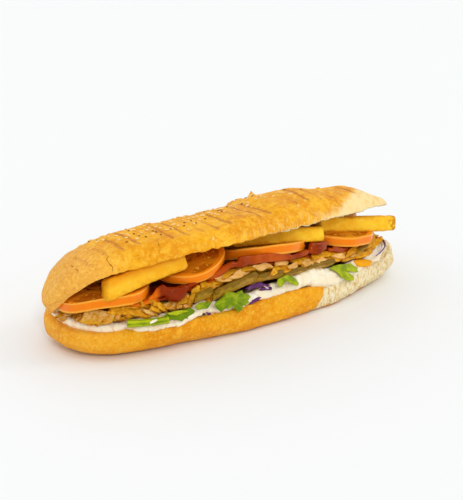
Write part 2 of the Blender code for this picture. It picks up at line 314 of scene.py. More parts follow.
def stand_for(thing, slot, *nodes):
    """Fix a finished piece to the model, hiding the nodes it replaces. The record slot is not
    used.
    """
    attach(thing, "root")
    if nodes:
        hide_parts(*nodes)
    print(thing.name, "is in place with", len(thing.data.polygons), "faces")


def single(name, finish, slot, node, points, faces, **values):
    """One closed shape as a finished piece that replaces a node."""
    pile = Pile()
    pile.add(points, faces, **values)
    stand_for(pile.build(name, finish), slot, node)


# %% [markdown]
# ## Mixing materials
# Food has no flat colours. A `Finish` starts from a Principled shader and a first colour,
# lays coats of other colours over it by noise or by values that the mesh carries, and adds
# relief. Everything is read from the object's own coordinates, so a grain size can be
# given in millimetres, and nothing depends on an unwrapped surface.

# %% A short way to write node materials
class Finish:
    """A material in the making."""

    def __init__(self, name, roughness, gloss, juicy=0.0, reach=(3.0, 1.5, 0.5),
                 shine=(1, 1, 1)):
        """Gloss is the specular level and shine its colour. Juicy food lets light in, by a
        reach in millimetres."""
        self.material = bpy.data.materials.new(name)
        self.material.use_nodes = True
        self.tree = self.material.node_tree
        self.shader = self.tree.nodes["Principled BSDF"]
        for label, value in (("Roughness", roughness), ("Specular IOR Level", gloss),
                             ("Specular Tint", shine), ("Subsurface Weight", juicy),
                             ("Subsurface Radius", list(reach)), ("Subsurface Scale", MM)):
            self.feed(self.shader.inputs[label], value)
        self.place = self.tree.nodes.new("ShaderNodeTexCoord").outputs["Object"]
        self.colour = None

    def feed(self, socket, value):
        """Plug in an output, or set a plain number, a colour (tuple) or a vector (list)."""
        if isinstance(value, bpy.types.NodeSocket):
            self.tree.links.new(value, socket)
        elif isinstance(value, tuple):
            socket.default_value = (*value, 1)
        else:
            socket.default_value = value

    def add(self, kind, output, inputs, **settings):
        """Add a node with its settings and inputs, and give back one of its outputs."""
        node = self.tree.nodes.new("ShaderNode" + kind)
        for label, value in settings.items():
            setattr(node, label, value)
        for label, value in inputs.items():
            self.feed(node.inputs[label], value)
        return node.outputs[output]

    def noise(self, size, detail=3.0, rough=0.55, stretch=None):
        """Noise with lumps of a real size in millimetres, from 0 to 1."""
        place = self.place
        if stretch:
            place = self.add("Mapping", "Vector", {
                "Vector": place, "Scale": [1 / s for s in stretch]})
        return self.add("TexNoise", "Fac", {"Vector": place, "Scale": 1 / (size * MM),
                                            "Detail": detail, "Roughness": rough})

    def cells(self, size):
        """Distance to the nearest of many scattered points."""
        return self.add("TexVoronoi", "Distance", {"Vector": self.place,
                                                   "Scale": 1 / (size * MM)})

    def value(self, label):
        """A value that the mesh carries."""
        return self.add("Attribute", "Fac", {}, attribute_name=label)

    def join(self, one, other, how="ADD"):
        return self.add("Math", 0, {0: one, 1: other}, operation=how)

    def step(self, value, low, high, start=0.0, end=1.0):
        """Rescale a value from low..high to start..end, and hold it there."""
        return self.add("MapRange", "Result", {
            "Value": value, "From Min": low, "From Max": high, "To Min": start,
            "To Max": end}, interpolation_type="SMOOTHSTEP")

    def patches(self, size, detail, low, high, start=0.0, end=1.0, rough=0.55, stretch=None):
        """Noise, rescaled in the same way."""
        return self.step(self.noise(size, detail, rough, stretch), low, high, start, end)

    def mottled(self, label, *patches):
        """A value that the mesh carries, broken up by patches."""
        return self.join(self.value(label), self.patches(*patches))

    def mix(self, share, one, other):
        return self.add("Mix", 2, {"Factor": share, 6: one, 7: other}, data_type="RGBA")

    def coat(self, share, colour):
        """Lay a colour over what is painted so far."""
        self.colour = self.mix(share, self.colour, colour)

    def relief(self, height, depth):
        """Bump whose full height is a depth in millimetres."""
        before = self.shader.inputs["Normal"].links
        inputs = {"Distance": depth * MM, "Height": height}
        if before:
            inputs["Normal"] = before[0].from_socket
        self.feed(self.shader.inputs["Normal"], self.add("Bump", "Normal", inputs))

    def done(self):
        self.feed(self.shader.inputs["Base Color"], self.colour)
        return self.material


# %% [markdown]
# ## The roll's shape
# The roll is three soft forms fused together: a lower half with a hollow, an upper half
# that tilts up along the slit, and the uncut strip along the back. It could be sculpted
# by hand, but then nothing else would know its shape. Here the outlines are squared-off
# ellipses and every height is a small function, so the filling can ask the same functions
# where the bread is.

# %% Sizes and heights of the roll, in millimetres
HALF_LENGTH = 122.8
HALF_WIDTH = 42.8
PLAN_POWER = 2.8
LIP_HEIGHT = 17
HINGE_HEIGHT = 25
END_RISE = 7
LID_SLOPE = 0.41
LID_MIDDLE = 39.5
LID_HALF_LENGTH = 119.5
LID_HALF_WIDTH = 38.6
LID_SHIFT = -1.2
LID_RISE = 24.8
LID_TAPER = -0.02
LID_POWER = 2.4
LID_END_POWER = 1.0
LID_TIP_POWER = 0.45
LID_END_BULGE = 7.5
LID_SCOOP = 7
BASE_ROUND = 13
BASE_BOW = 0.4
BELLY_HEIGHT = 9.5
TRAY_HEIGHT = 9.5


def rounded(angles, half_length, half_width):
    """Points of a squared-off ellipse."""
    c, s = squared_circle(angles, PLAN_POWER)
    return c * half_length, s * half_width


def plan_radius(x, y, half_length=HALF_LENGTH, half_width=HALF_WIDTH):
    """0 in the middle, 1 on the outline."""
    return (np.abs(x / half_length) ** PLAN_POWER
            + np.abs(y / half_width) ** PLAN_POWER) ** (1 / PLAN_POWER)


def lower_lip(x, y):
    hinge = (HINGE_HEIGHT - LIP_HEIGHT) * climb(y, 8, 28)
    return LIP_HEIGHT + hinge + END_RISE * climb(x, 92, 28) * climb(y, -34, 34)


def cut_height(x, y):
    """The upper half's cut face. It dips to meet the lower half at the left end."""
    dip = np.maximum(15, 16 + 0.52 * (y + 9))
    return LID_MIDDLE - LID_SLOPE * y - dip * np.exp(-np.maximum(x + HALF_LENGTH, 0) / 8)


def lid_underside(x, y):
    reach = plan_radius(x, y - LID_SHIFT, LID_HALF_LENGTH, LID_HALF_WIDTH)
    return cut_height(x, y) + LID_SCOOP * np.maximum(0, 1 - reach ** 4)


def tray_floor(x, y):
    rim = lower_lip(x, y)
    return TRAY_HEIGHT + (rim - TRAY_HEIGHT) * climb(plan_radius(x, y), 0.5, 0.42)


print("slit at the front, mm: from", lower_lip(0, -40), "to", round(float(cut_height(0, -40)), 1))

# %% [markdown]
# Each half is lofted from rings. The base curls in under the side, most at the left end,
# the rim is rounded, and the crown rises square to the tilted cut face. A knob of dough
# closes the left end, where the knife stopped.

# %% Rings of the two halves and what joins them
AROUND = 240
BASE_RIM = ((0.1, 5.5), (0.4, 3), (1.0, 1.2), (1.9, 0.3), (3, 0))       # inset, drop
CROWN_STEPS = (1.0, 0.998, 0.99, 0.975, 0.95, 0.91, 0.86, 0.8, 0.72, 0.63, 0.52, 0.4, 0.25)
STRIP_START = -0.955    # of the roll's half length
STRIP_LENGTH = 1.66
STRIP_INSET = 6.6
STRIP_WIDTH = 6.4
STRIP_HEIGHT = 9.5
KNOB = (-110, 14, 22)
KNOB_RADII = (8, 10, 7)
STRIP_AROUND = 36
STRIP_STATIONS = 60
KNOB_AROUND = 24
BREAD_VOXEL = 1.08
BREAD_ROUNDS = 4        # of smoothing after the remesh


def stack(x, y, z):
    return np.stack(np.broadcast_arrays(x, y, z), axis=-1)


def lower_half():
    angles = ring_angles(AROUND)
    bow = 1 + BASE_BOW * np.maximum(0, -np.cos(angles)) ** 3
    rings = []
    for turn in np.linspace(0, math.pi / 2, 9):
        inset = BASE_ROUND * bow * (1 - math.sin(turn))
        height = BELLY_HEIGHT * (1 - math.cos(turn))
        x, y = rounded(angles, HALF_LENGTH - inset, HALF_WIDTH - inset)
        rings.append(stack(x, y, height))
    for inset, drop in BASE_RIM:
        x, y = rounded(angles, HALF_LENGTH - inset, HALF_WIDTH - inset)
        rings.append(stack(x, y, lower_lip(x, y) - drop))
    for scale in np.linspace(0.9, 0.44, 12):
        x, y = rounded(angles, HALF_LENGTH * scale, HALF_WIDTH * scale)
        rings.append(stack(x, y, tray_floor(x, y)))
    return loft(rings)


def lid_point(angles, scale, rise):
    x, y = rounded(angles, LID_HALF_LENGTH * scale, LID_HALF_WIDTH * scale)
    y = y + LID_SHIFT
    tilt = math.atan(LID_SLOPE)
    return x, y + rise * math.sin(tilt), cut_height(x, y) + rise * math.cos(tilt)


def crown_ring(angles, scale):
    c = np.cos(angles)
    power = (LID_POWER + LID_END_POWER * np.maximum(0, -c) ** 6
             - LID_TIP_POWER * np.maximum(0, c) ** 6)
    flat_x = rounded(angles, LID_HALF_LENGTH * scale, LID_HALF_WIDTH * scale)[0]
    taper = 1 - LID_TAPER * flat_x / LID_HALF_LENGTH
    rise = LID_RISE * taper * (1 - scale ** power) ** (1 / power)
    x, y, z = lid_point(angles, scale, rise)
    swell = climb(rise, -4, 12) * np.exp(-(x + LID_HALF_LENGTH) / 14)
    return stack(x - LID_END_BULGE * swell, y, z)


def upper_half():
    angles = ring_angles(AROUND)
    rings = [stack(*lid_point(angles, scale, LID_SCOOP * (1 - scale ** 4)))
             for scale in np.linspace(0.3, 0.97, 12)]
    return loft(rings + [crown_ring(angles, scale) for scale in CROWN_STEPS])


def back_strip():
    angles = ring_angles(STRIP_AROUND)
    rings = []
    for share in np.linspace(0, 1, STRIP_STATIONS):
        x = (STRIP_START + STRIP_LENGTH * share) * HALF_LENGTH
        half = HALF_WIDTH * (1 - abs(x / HALF_LENGTH) ** PLAN_POWER) ** (1 / PLAN_POWER)
        swell = math.sqrt(max(0.05, 1 - abs(2 * share - 1) ** 6))
        rings.append(stack(x, half - STRIP_INSET + STRIP_WIDTH * swell * np.cos(angles),
                           HINGE_HEIGHT + 1 + STRIP_HEIGHT * swell * np.sin(angles)))
    return loft(rings)


def ball(centre, radii, around):
    """A squashed ball."""
    angles = ring_angles(around)
    rings = []
    for turn in np.linspace(0.25, math.pi - 0.25, around // 2):
        rings.append(np.asarray(centre) + stack(radii[0] * math.sin(turn) * np.cos(angles),
                                                radii[1] * math.sin(turn) * np.sin(angles),
                                                -radii[2] * math.cos(turn)))
    return loft(rings)


dough = Pile()
for half in (lower_half, upper_half, back_strip):
    dough.add(*half())
dough.add(*ball(KNOB, KNOB_RADII, KNOB_AROUND))
bread = melt(dough, "bread", BREAD_VOXEL, BREAD_ROUNDS)

# %% [markdown]
# ## Baking and pressing
# Real crust isn't a smooth shell. The ribbed grill flattens the top and presses shallow
# grooves across it, large soft lumps come from the dough, and fine wrinkles from the
# steam. At the right the crust is torn off the lower half, which bares a stringy crumb.
# The base sags out over the table along its front, and the lip of the upper half is a
# little ragged. A bump texture would leave the outline smooth, so each of these is a field
# that moves the points. Most are also stored on the mesh, so that the material colours
# the same place.

# %% Fields over the bread
GRILL_PITCH = 10.0
GRILL_FIRST = -102.0
GRILL_REACH = 2.7
CROWN_LIFT = ((-123, 0), (-88, 0), (-64, -1.5), (-48, -3.2), (-30, -3.6), (-8, -2.0),
              (7, -3.2), (19, 0), (40, 0.4), (62, -1.4), (88, 0.5), (104, -2.8), (118, -1.8))
PRESSED = 1.6
RIDGE_START = -130
RIDGE_STEP = 4
RIDGE_SLOTS = 65
PEAK = (21, 4, 3.4)     # x, y and height of a small peak of dough on the ridge
TEAR_FOOT = 30
SAG_OUT = 1.4
END_PUSH = 2.8


def press(p):
    """Flatten the top of the crown and give its ridge an uneven rise and fall."""
    x, y, z = p.T
    slots = np.clip(((x - RIDGE_START) / RIDGE_STEP).astype(int), 0, RIDGE_SLOTS - 1)
    ridge = np.zeros(RIDGE_SLOTS)
    np.maximum.at(ridge, slots, z)
    ridge = np.convolve(np.pad(ridge, 2, "edge"), np.ones(5) / 5, "valid")
    middles = RIDGE_START + (np.arange(RIDGE_SLOTS) + 0.5) * RIDGE_STEP
    below = np.maximum(0, np.interp(x, middles, ridge) - z)
    above_cut = z - cut_height(x, y)
    flat = PRESSED * (1 - bump(below, 0, 1.6)) * bump(below, 0, 9)
    peak = PEAK[2] * bump(x, PEAK[0], 1.3) * bump(y, PEAK[1], 2.2) * (below < 6)
    z = (z + climb(above_cut, 0, 8) * (flat + peak)
         + along(x, CROWN_LIFT) * climb(above_cut, 0, 20))
    return stack(x, y, z), below


def crumb_depth(p):
    """Millimetres inside the cut faces. Below 0 is crust."""
    x, y, z = p.T
    under = lid_underside(x, y)
    middle = (lower_lip(x, y) + under) / 2
    inset = (1 - plan_radius(x, y)) * HALF_WIDTH
    tray = np.minimum.reduce([inset - 4.2, z - tray_floor(x, y) + 2.5, middle - z])
    band = -1.0 + 1.9 * climb(x, -55, 80)
    return np.maximum(tray, np.minimum(under + band - z, z - middle))


def torn(p):
    """1 where the crust has come off the lower half, at the right."""
    x, y, z = p.T
    edge = TEAR_FOOT + z + 2.6 * cloud(p, 6, 41)
    skin = climb(z - 0.7 * cloud(p, 5, 42), 0.5, 0.9)
    return climb(x - edge, 0, 2) * fall(y, 2, 6) * skin * fall(z, 30, 3)


def floury(p):
    """1 where the upper crust is pale, towards its right end."""
    x, y, z = p.T
    reach = 26 + 2.8 * np.maximum(0, z - cut_height(x, y)) + 7 * cloud(p, 12, 43)
    return climb(x - reach, -5, 32) * climb(z, 26, 4)


def grill_marks(p, below):
    """1 in the middle of a groove that the ribbed grill has pressed in."""
    x, y, z = p.T
    wander = x + 0.7 * cloud(p, 14, 5) + 0.05 * y
    order = (wander - GRILL_FIRST) / GRILL_PITCH
    across = np.abs(order - np.round(order)) * GRILL_PITCH
    patchy = np.clip(0.75 + 0.75 * cloud(p * (1, 0.4, 0.4), 9, 9), 0, 1)
    on_crown = fall(below - 1.2 * cloud(p, 9, 10), 4.2, 2.6) * fall(np.abs(x + 8), 112, 14)
    return fall(across, GRILL_REACH, GRILL_REACH) * patchy * on_crown * climb(z, 40, 6)


def sag(p):
    """How far the front of the base sags out over the table, so its corner is squarer."""
    x, y, z = p.T
    low = 1 - np.clip(z / BELLY_HEIGHT, 0, 1)
    squarer = (1 - low ** 4) ** 0.25 - np.sqrt(1 - low ** 2)
    front = fall(y, -8, 12) * climb(x, -62, 50) * fall(x, 88, 40)
    return front * (BASE_ROUND * squarer + SAG_OUT * fall(z, 15, 8) * (z > 0.3))


p, n = read_points(bread.data)
x, y, z = p.T
above_cut = z - cut_height(x, y)
crumb = crumb_depth(p)
bare = torn(p)
shaped, below_ridge = press(p)
grill = grill_marks(p, below_ridge)
crust = fall(crumb, 0, 0.8) * (1 - bare)
lumps = 0.7 * cloud(p, 26, 1, 1) + 0.34 * cloud(p, 9, 2)
wrinkles = 0.14 * cloud(p * (1, 0.6, 0.6), 2.6, 3)
strings = 0.9 * cloud(p * (1, 1, 0.35), 3.6, 4) + 0.6 * cloud(p, 8, 6) - 1.0
soft = 0.45 * cloud(p, 5, 7)
ragged = 0.7 * cloud(p, 3.2, 8) * bump(above_cut, 0.5, 2) * climb(x, -75, 40) * fall(y, 4, 8)
off_table = climb(z, 0, 2.5)
shift = (lumps * off_table + wrinkles * crust - 0.3 * grill + ragged
         + bare * off_table * strings + soft * climb(crumb, 0, 2))
moved = shaped + n * shift[:, None]
moved[:, 1] -= sag(p)
moved[:, 0] += END_PUSH * climb(x, 98, 20) * fall(z, 24, 8)
moved[:, 2] = np.maximum(moved[:, 2], 0.0)
write_points(bread.data, moved)
for label, field in (("crumb", crumb), ("torn", bare), ("grill", grill), ("floury", floury(p)),
                     ("lip", bump(above_cut, 2, 6) * bump(x, 22, 38) * (y < 0)),
                     ("low", 0.3 * fall(z, 22, 10)),
                     ("dusty", fall(x, -88, 26) * (0.35 + 0.65 * climb(z, 14, 10)))):
    write_values(bread.data, label, field)
print("bread points:", len(p), "grilled:", round(float((grill > 0.4).mean()), 3))
bread_tree = BVHTree.FromObject(bread, bpy.context.evaluated_depsgraph_get())


# %% [markdown]
# Crust is browned unevenly, so one colour with noise looks like plastic. It starts amber
# and golden, with honey where it is less baked. Coats of darker and paler spots, grill
# scorch and flour follow, and the torn and cut faces take the colours of the stringy
# crumb: darker in its grooves, partly real streaks and partly painted shade, and with
# paler patches that are painted highlights. Its gloss is tinted, because a white gloss
# would grey the warm browns.

# %% The crust and crumb finish
def bread_finish():
    finish = Finish("crust_and_crumb", 0.55, 0.16, shine=(1, 0.85, 0.5))
    amber, golden, honey = (0.81, 0.305, 0.004), (0.94, 0.435, 0.010), (0.96, 0.51, 0.032)
    finish.colour = amber
    finish.coat(finish.patches(24, 3, 0.38, 0.62), golden)
    finish.coat(finish.patches(6, 6, 0.46, 0.66, rough=0.68), honey)
    finish.coat(finish.patches(2.4, 4, 0.53, 0.66, 0, 0.6, 0.7), (0.72, 0.225, 0.003))
    dust = finish.mix(finish.patches(1.9, 4, 0.3, 0.7, rough=0.7), (0.80, 0.35, 0.046),
                      (0.96, 0.52, 0.125))
    finish.coat(finish.join(finish.value("dusty"), 0.75, "MULTIPLY"), dust)
    finish.coat(finish.value("low"), (0.76, 0.25, 0.002))
    finish.coat(finish.patches(1.9, 4, 0.52, 0.64, 0, 0.55, 0.7), (0.98, 0.60, 0.08))
    streaks = finish.patches(1.6, 3, 0.45, 0.7, 0, 0.6, stretch=(0.7, 3, 3))
    finish.coat(finish.join(finish.value("lip"), streaks, "MULTIPLY"), (0.98, 0.76, 0.33))
    scorch = finish.mottled("grill", 1.4, 3, 0.3, 0.7, -0.25, 0.25)
    finish.coat(finish.step(scorch, 0.2, 0.95, 0, 0.72), (0.48, 0.13, 0.025))
    flour = finish.mottled("floury", 5, 4, 0.3, 0.7, -0.4, 0.1)
    finish.coat(finish.step(flour, 0.0, 1.0, 0, 0.92), (0.97, 0.76, 0.37))
    finish.coat(finish.patches(0.7, 2, 0.66, 0.76, 0, 0.3), (0.60, 0.20, 0.01))
    strings = finish.noise(1.5, 4, 0.6, stretch=(1, 1, 2.6))
    # The crumb runs from orange streaks to cream with the relief, so its grooves are darker:
    # partly real streaks, partly painted shade.
    inside = finish.mix(finish.step(strings, 0.34, 0.6), (0.70, 0.45, 0.15), (0.96, 0.82, 0.50))
    # Painted highlights: paler patches over the crumb.
    inside = finish.mix(finish.patches(4, 3, 0.45, 0.7, 0, 0.6), inside, (0.98, 0.89, 0.68))
    ragged = finish.join(finish.value("crumb"), finish.noise(1.6, 3))
    bared = finish.mottled("torn", 1.8, 3, 0.3, 0.7, -0.3, 0.3)
    open_crumb = finish.join(finish.step(ragged, 0.5, 0.9), finish.step(bared, 0.4, 0.6),
                             "MAXIMUM")
    finish.coat(open_crumb, inside)
    finish.relief(finish.noise(0.7, 3), 0.3)
    finish.relief(finish.patches(1.5, 3, 0.58, 0.7, 0, -1), 0.2)
    finish.relief(finish.noise(2.6, 4, stretch=(1, 1.6, 1.6)), 0.45)
    finish.relief(finish.join(strings, open_crumb, "MULTIPLY"), 1.0)
    return finish.done()


bread.data.materials.append(bread_finish())
stand_for(bread, "bread", "bread_roll")

# %% [markdown]
# ## Strips, beads and spots at the edge
# `edge_spot` finds a place on a wall that follows the roll's outline, for what hangs out
# of the slit. `sweep` draws a soft strip along a path: slices of meat, shreds and stems
# are all strips with different sections. `squeeze` lays a line of soft balls, as from a
# bottle.

# %% Spots at the edge, curves, sweeps and beads
SEARCH_FROM = -60       # depths between which a wall is looked for
SEARCH_TO = 10
SEARCH_STEPS = 400


def edge_spot(across, down, depth):
    """Where a line of sight meets a wall that follows the roll's outline.

    Depth is the wall's depth at the middle of the roll, and it curves in at the ends.
    """
    near, far = at_depth(across, down, SEARCH_FROM), at_depth(across, down, SEARCH_TO)
    inset = HALF_WIDTH + depth
    places = near + (far - near) * np.linspace(0, 1, SEARCH_STEPS)[:, None]
    reach = plan_radius(places[:, 0], places[:, 1], HALF_LENGTH - inset, HALF_WIDTH - inset)
    return places[np.argmax(reach < 1) if reach.min() < 1 else np.argmin(reach)]


def curve_through(stops, count):
    """A smooth curve through a few places (Catmull-Rom), as evenly shared points."""
    stops = np.asarray(stops, float)
    padded = np.vstack([2 * stops[0] - stops[1], stops, 2 * stops[-1] - stops[-2]])
    points = []
    for place in np.linspace(0, len(stops) - 1, count):
        i = min(int(place), len(stops) - 2)
        t = place - i
        a, b, c, d = padded[i:i + 4]
        points.append(0.5 * (2 * b + (c - a) * t + (2 * a - 5 * b + 4 * c - d) * t ** 2
                             + (3 * b - a - 3 * c + d) * t ** 3))
    return np.array(points)


def unit(vectors):
    return vectors / np.maximum(np.linalg.norm(vectors, axis=-1, keepdims=True), 1e-9)


def sweep(path, width, thickness, roll=0.0, power=4.0, around=16, ends=0.7, slant=0.0):
    """A strip along a path. Roll 0 lies flat, 90 stands on its edge.

    Returns the points, the faces, and for each point its place along the strip (0 to 1),
    across it (-1 to 1) and through it (-1 below to 1 above).
    """
    path = np.asarray(path, float)
    count = len(path)
    share = np.linspace(0, 1, count)
    roll = np.radians(np.zeros(count) + roll)
    tangent = unit(np.gradient(path, axis=0))
    level = unit(np.cross((0, 0, 1), tangent))
    upright = np.cross(tangent, level)
    across = level * np.cos(roll)[:, None] + upright * np.sin(roll)[:, None]
    over = upright * np.cos(roll)[:, None] - level * np.sin(roll)[:, None]
    tip = np.minimum(share, 1 - share) * (count - 1)
    taper = np.where(tip < 1, ends, np.where(tip < 2, 0.5 + 0.5 * ends, 1.0))
    c, s = squared_circle(ring_angles(around) + math.pi / around, power)
    rings = (path[:, None] + tangent[:, None] * (slant * c[None, :, None])
             + across[:, None] * (c[None, :, None] * (width * taper / 2)[:, None, None])
             + over[:, None] * (s[None, :, None] * (thickness * taper / 2)[:, None, None]))
    points, faces = loft(rings)
    return (points, faces, loft_values(share[:, None], count, around, (0, 1)),
            loft_values(c, count, around), loft_values(s, count, around))


def squeeze(pile, place, stops, step=1.2):
    """A line of soft balls through stops of across, down, depth or height, and radius."""
    stops = np.array([(*place(*stop[:3]), stop[3]) for stop in stops], float)
    length = np.linalg.norm(np.diff(stops[:, :3], axis=0), axis=1).sum()
    for *centre, radius in curve_through(stops, max(2, int(length / step))):
        pile.add(*ball(centre, (radius, radius, radius), 12))


# %% [markdown]
# ## The layers' places
# Sauce, cabbage, chicken and ketchup lie between height functions of the hollow. Each
# layer is a ring outline with a floor and a top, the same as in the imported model, only
# with many more rings. Stacked this way, no layer can cut into the next.

# %% Heights of the filling
FLOOR_CLEAR = 0.9
LAYER_GAP = 1.0
SHRED_DEPTH = 3
MEAT_FRONT = ((-122, 16), (-108, 24.5), (-94, 28.2), (-64, 28.8), (-46, 32), (-24, 36),
              (-8, 35.6), (14, 34), (44, 31), (62, 30.2), (80, 28.4), (106, 26.2))


def front_share(x, y):
    return fall(y, -12, 20) * climb(x, -122, 16)


def sauce_level(x, y):
    dollop = 3.5 * bump(x, 30, 17) + 1.5 * bump(x, 0, 12)
    thin = soft_max(tray_floor(x, y) + 2.2, 14.5, 3)
    return thin + front_share(x, y) * (3.2 + dollop)


def sauce_top(x, y):
    folds = 1 - 0.6 * np.sin(x / 7) - 0.4 * np.sin(x / 3.7 + 1)
    return sauce_level(x, y) - front_share(x, y) * 0.7 * folds


def sauce_floor(x, y):
    return tray_floor(x, y) + FLOOR_CLEAR


def cabbage_share(x):
    return climb(x, -50, 18)


def cabbage_floor(x, y):
    return sauce_level(x, y) + LAYER_GAP


def cabbage_top(x, y):
    hollows = 1 + np.sin(x / 3.1) * np.sin(y / 4.3)
    return cabbage_floor(x, y) + cabbage_share(x) * (SHRED_DEPTH - 0.45 * hollows)


def chicken_floor(x, y):
    return cabbage_floor(x, y) + cabbage_share(x) * (SHRED_DEPTH + LAYER_GAP)


def chicken_top(x, y):
    middle_slice = climb(x, -36, 18) * (1 - climb(x, 44, 18))
    front = along(x, MEAT_FRONT) - 0.26 * middle_slice * (y + 38)
    back = lid_underside(x, y) - 2.6 - 11 * climb(x, 36, 22)
    step = 3 + 6 * fall(x, -46, 20)
    height = front + (back - front) * climb(y, step, 9)
    return np.maximum(chicken_floor(x, y) + 1.5, np.minimum(height, back))


def ketchup_floor(x, y):
    return chicken_top(x, y) + LAYER_GAP


def ketchup_top(x, y):
    return ketchup_floor(x, y) + 2.2


class Layer:
    """A closed layer between two height functions."""

    def __init__(self, middle, half_length, half_width, floor, top, inside=0.93):
        self.middle = middle
        self.half_length = half_length
        self.half_width = half_width
        self.floor = floor
        self.top = top
        self.inside = inside

    def outline(self, angles, outward_by):
        x, y = rounded(angles, self.half_length + outward_by, self.half_width + outward_by)
        wave = 1 + 0.02 * np.sin(7 * angles + self.half_length * 0.9)
        x = self.middle[0] + x * wave
        y = self.middle[1] + y * wave
        pull = np.minimum(1, self.inside / np.maximum(plan_radius(x, y), 1e-6))
        return x * pull, y * pull

    def body(self, around, shrink=0.0, lower=0.0):
        """Lofted from the middle of the floor, round the edge, to the middle of the top."""
        angles = ring_angles(around)
        insets = np.linspace(0.97, 0.02, 16) * self.half_width
        rings = []
        for inset in insets:
            x, y = self.outline(angles, -inset - shrink)
            rings.append(stack(x, y, self.floor(x, y)))
        x, y = self.outline(angles, 0.6 - shrink)
        rings.append(stack(x, y, (self.floor(x, y) + self.top(x, y) - lower) / 2))
        for inset in insets[::-1]:
            x, y = self.outline(angles, -inset - shrink)
            top = np.maximum(self.top(x, y) - lower, self.floor(x, y) + 0.6)
            rings.append(stack(x, y, top))
        return loft(rings)


SAUCE = Layer((0, -6), 110, 32, sauce_floor, sauce_top, inside=0.905)
CABBAGE = Layer((34, -6.5), 70, 28.5, cabbage_floor, cabbage_top)
CHICKEN = Layer((-4, -6), 108, 30, chicken_floor, chicken_top)
KETCHUP = Layer((-12, -20), 84, 15.5, ketchup_floor, ketchup_top)
print("tops over the table at the front, mm:", [round(float(top(0, -34)), 1) for top in
                                               (sauce_top, cabbage_top, chicken_top, ketchup_top)])

# %% [markdown]
# ## Garlic sauce
# Thick white sauce is squeezed up to the edge of the bread. A fluid simulation could pour
# it, but it would be slow and hard to steer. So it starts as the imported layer, soft beads
# are squeezed along the edge where the sauce bulges out, and a voxel remesh melts
# everything into one creamy skin. A bead's stops are spots of the frame with a height or a
# depth, and a radius. Thin creases then part the folds.

# %% Garlic sauce along the edge of the bread
SAUCE_END = (           # spot across, spot down, height, radius
    (53, 313.5, 19.5, 1.5), (60, 317, 19, 2.2), (66, 320, 18.6, 2.6),
    (76, 324.5, 18, 3.0), (86, 326.5, 18, 3.2),
    (97, 328, 18, 3.4), (108, 328.2, 18, 3.5), (118, 327.5, 18, 3.3), (127, 326.5, 18, 2.6),
    (137, 327.5, 17.8, 2.4), (148, 327, 17.8, 2.5), (158, 325.5, 17.8, 2.7),
    (168, 323, 18, 3.0), (178, 320, 18.4, 3.2), (188, 316, 19, 3.2))
SAUCE_FRONT = (         # spot across, spot down, depth, radius
    (186, 317, -36.5, 3.2), (195, 312.5, -37, 3.4), (203, 308, -37, 3.0),
    (213, 309, -37.5, 3.2), (224, 308, -37.5, 3.0), (236, 305, -37.5, 2.9),
    (248, 299.5, -37.5, 2.9), (258, 296.5, -37.5, 2.8), (268, 293.5, -37.5, 2.8),
    (278, 289.5, -37.5, 3.2), (288, 286, -37.5, 3.6), (298, 282, -37.5, 4.0),
    (306, 279.5, -37.5, 4.2), (315, 280, -37.5, 4.4), (325, 279.5, -37, 4.4),
    (336, 278.5, -36, 4.0), (347, 275, -34.5, 3.4), (356, 271, -33, 3.0),
    (364, 267.5, -31, 2.8), (371, 262, -27.5, 2.8), (377, 255, -23, 2.8),
    (381, 248, -17, 2.6))
SAUCE_PEAKS = (         # folds above the line: short beads
    ((208, 311, -37, 2.6), (211, 305.5, -36.5, 2.4), (214, 302.5, -36.5, 1.9)),
    ((192, 314, -36.5, 2.8), (198, 306, -36.5, 2.4), (204, 303, -36, 2.0)),
    ((296, 279, -37, 3.0), (304, 274.5, -36.6, 2.6), (312, 271, -36.4, 2.2)),
    ((310, 276, -37.2, 3.4), (318, 271.5, -36.8, 2.6), (327, 272.5, -36.6, 2.6)),
    ((326, 275, -37, 3.0), (336, 273.5, -36, 2.8), (344, 272.5, -35, 2.4)),
    ((280, 286, -37.4, 2.4), (287, 281.5, -37, 2.2), (294, 278.5, -36.6, 2.0)))
sauce_pile = Pile()
sauce_pile.add(*SAUCE.body(180))
squeeze(sauce_pile, at_height, SAUCE_END)
for stops in (SAUCE_FRONT, *SAUCE_PEAKS):
    squeeze(sauce_pile, at_depth, stops)
sauce = melt(sauce_pile, "garlic_sauce_swirl", 0.75, 6)
p, n = read_points(sauce.data)
edge_on = fall(p[:, 1], -20, 10)
folds = 0.75 * cloud(p * (0.7, 1, 1.3), 5.5, 21, 2) + 0.25 * cloud(p, 2.4, 22, 1)
crease = bump(cloud(p * (1, 1, 0.55), 6.5, 25), 0, 0.11)
shift = folds * (0.3 + 0.7 * edge_on) - 0.7 * crease * edge_on
write_points(sauce.data, p + n * shift[:, None])
write_values(sauce.data, "left", fall(p[:, 0], -35, 60))


def sauce_finish():
    finish = Finish("garlic_sauce", 0.25, 0.3, 0.25, (4, 3, 2))
    finish.colour = finish.mix(finish.patches(8, 3, 0.4, 0.7), (0.94, 0.80, 0.56),
                               (0.97, 0.90, 0.72))
    rosy = finish.mix(finish.patches(3.5, 3, 0.45, 0.68), (0.95, 0.78, 0.56),
                      (0.90, 0.50, 0.22))
    finish.coat(finish.join(finish.value("left"), 0.55, "MULTIPLY"), rosy)
    finish.relief(finish.noise(1.8, 3), 0.3)
    return finish.done()


white_sauce = sauce_finish()
sauce.data.materials.append(white_sauce)
stand_for(sauce, "sauce", "garlic_sauce")

# %% [markdown]
# ## Shaved chicken
# The meat is cut in thin slices from a spit. One face of a slice is pale where the knife
# went, and its outer edge is golden and spiced. Copies of one slice would soon be noticed,
# so each is made anew: a `sweep` with crisp edges and torn ends whose width wanders. A
# lower core fills the hidden middle, and the slices lie round its edge and out of the
# slit. The material reads how near its edge a point lies.

# %% One slice of chicken
SLICE_STATIONS = 18
SLICE_AROUND = 22
SLICE_BOW = 0.3


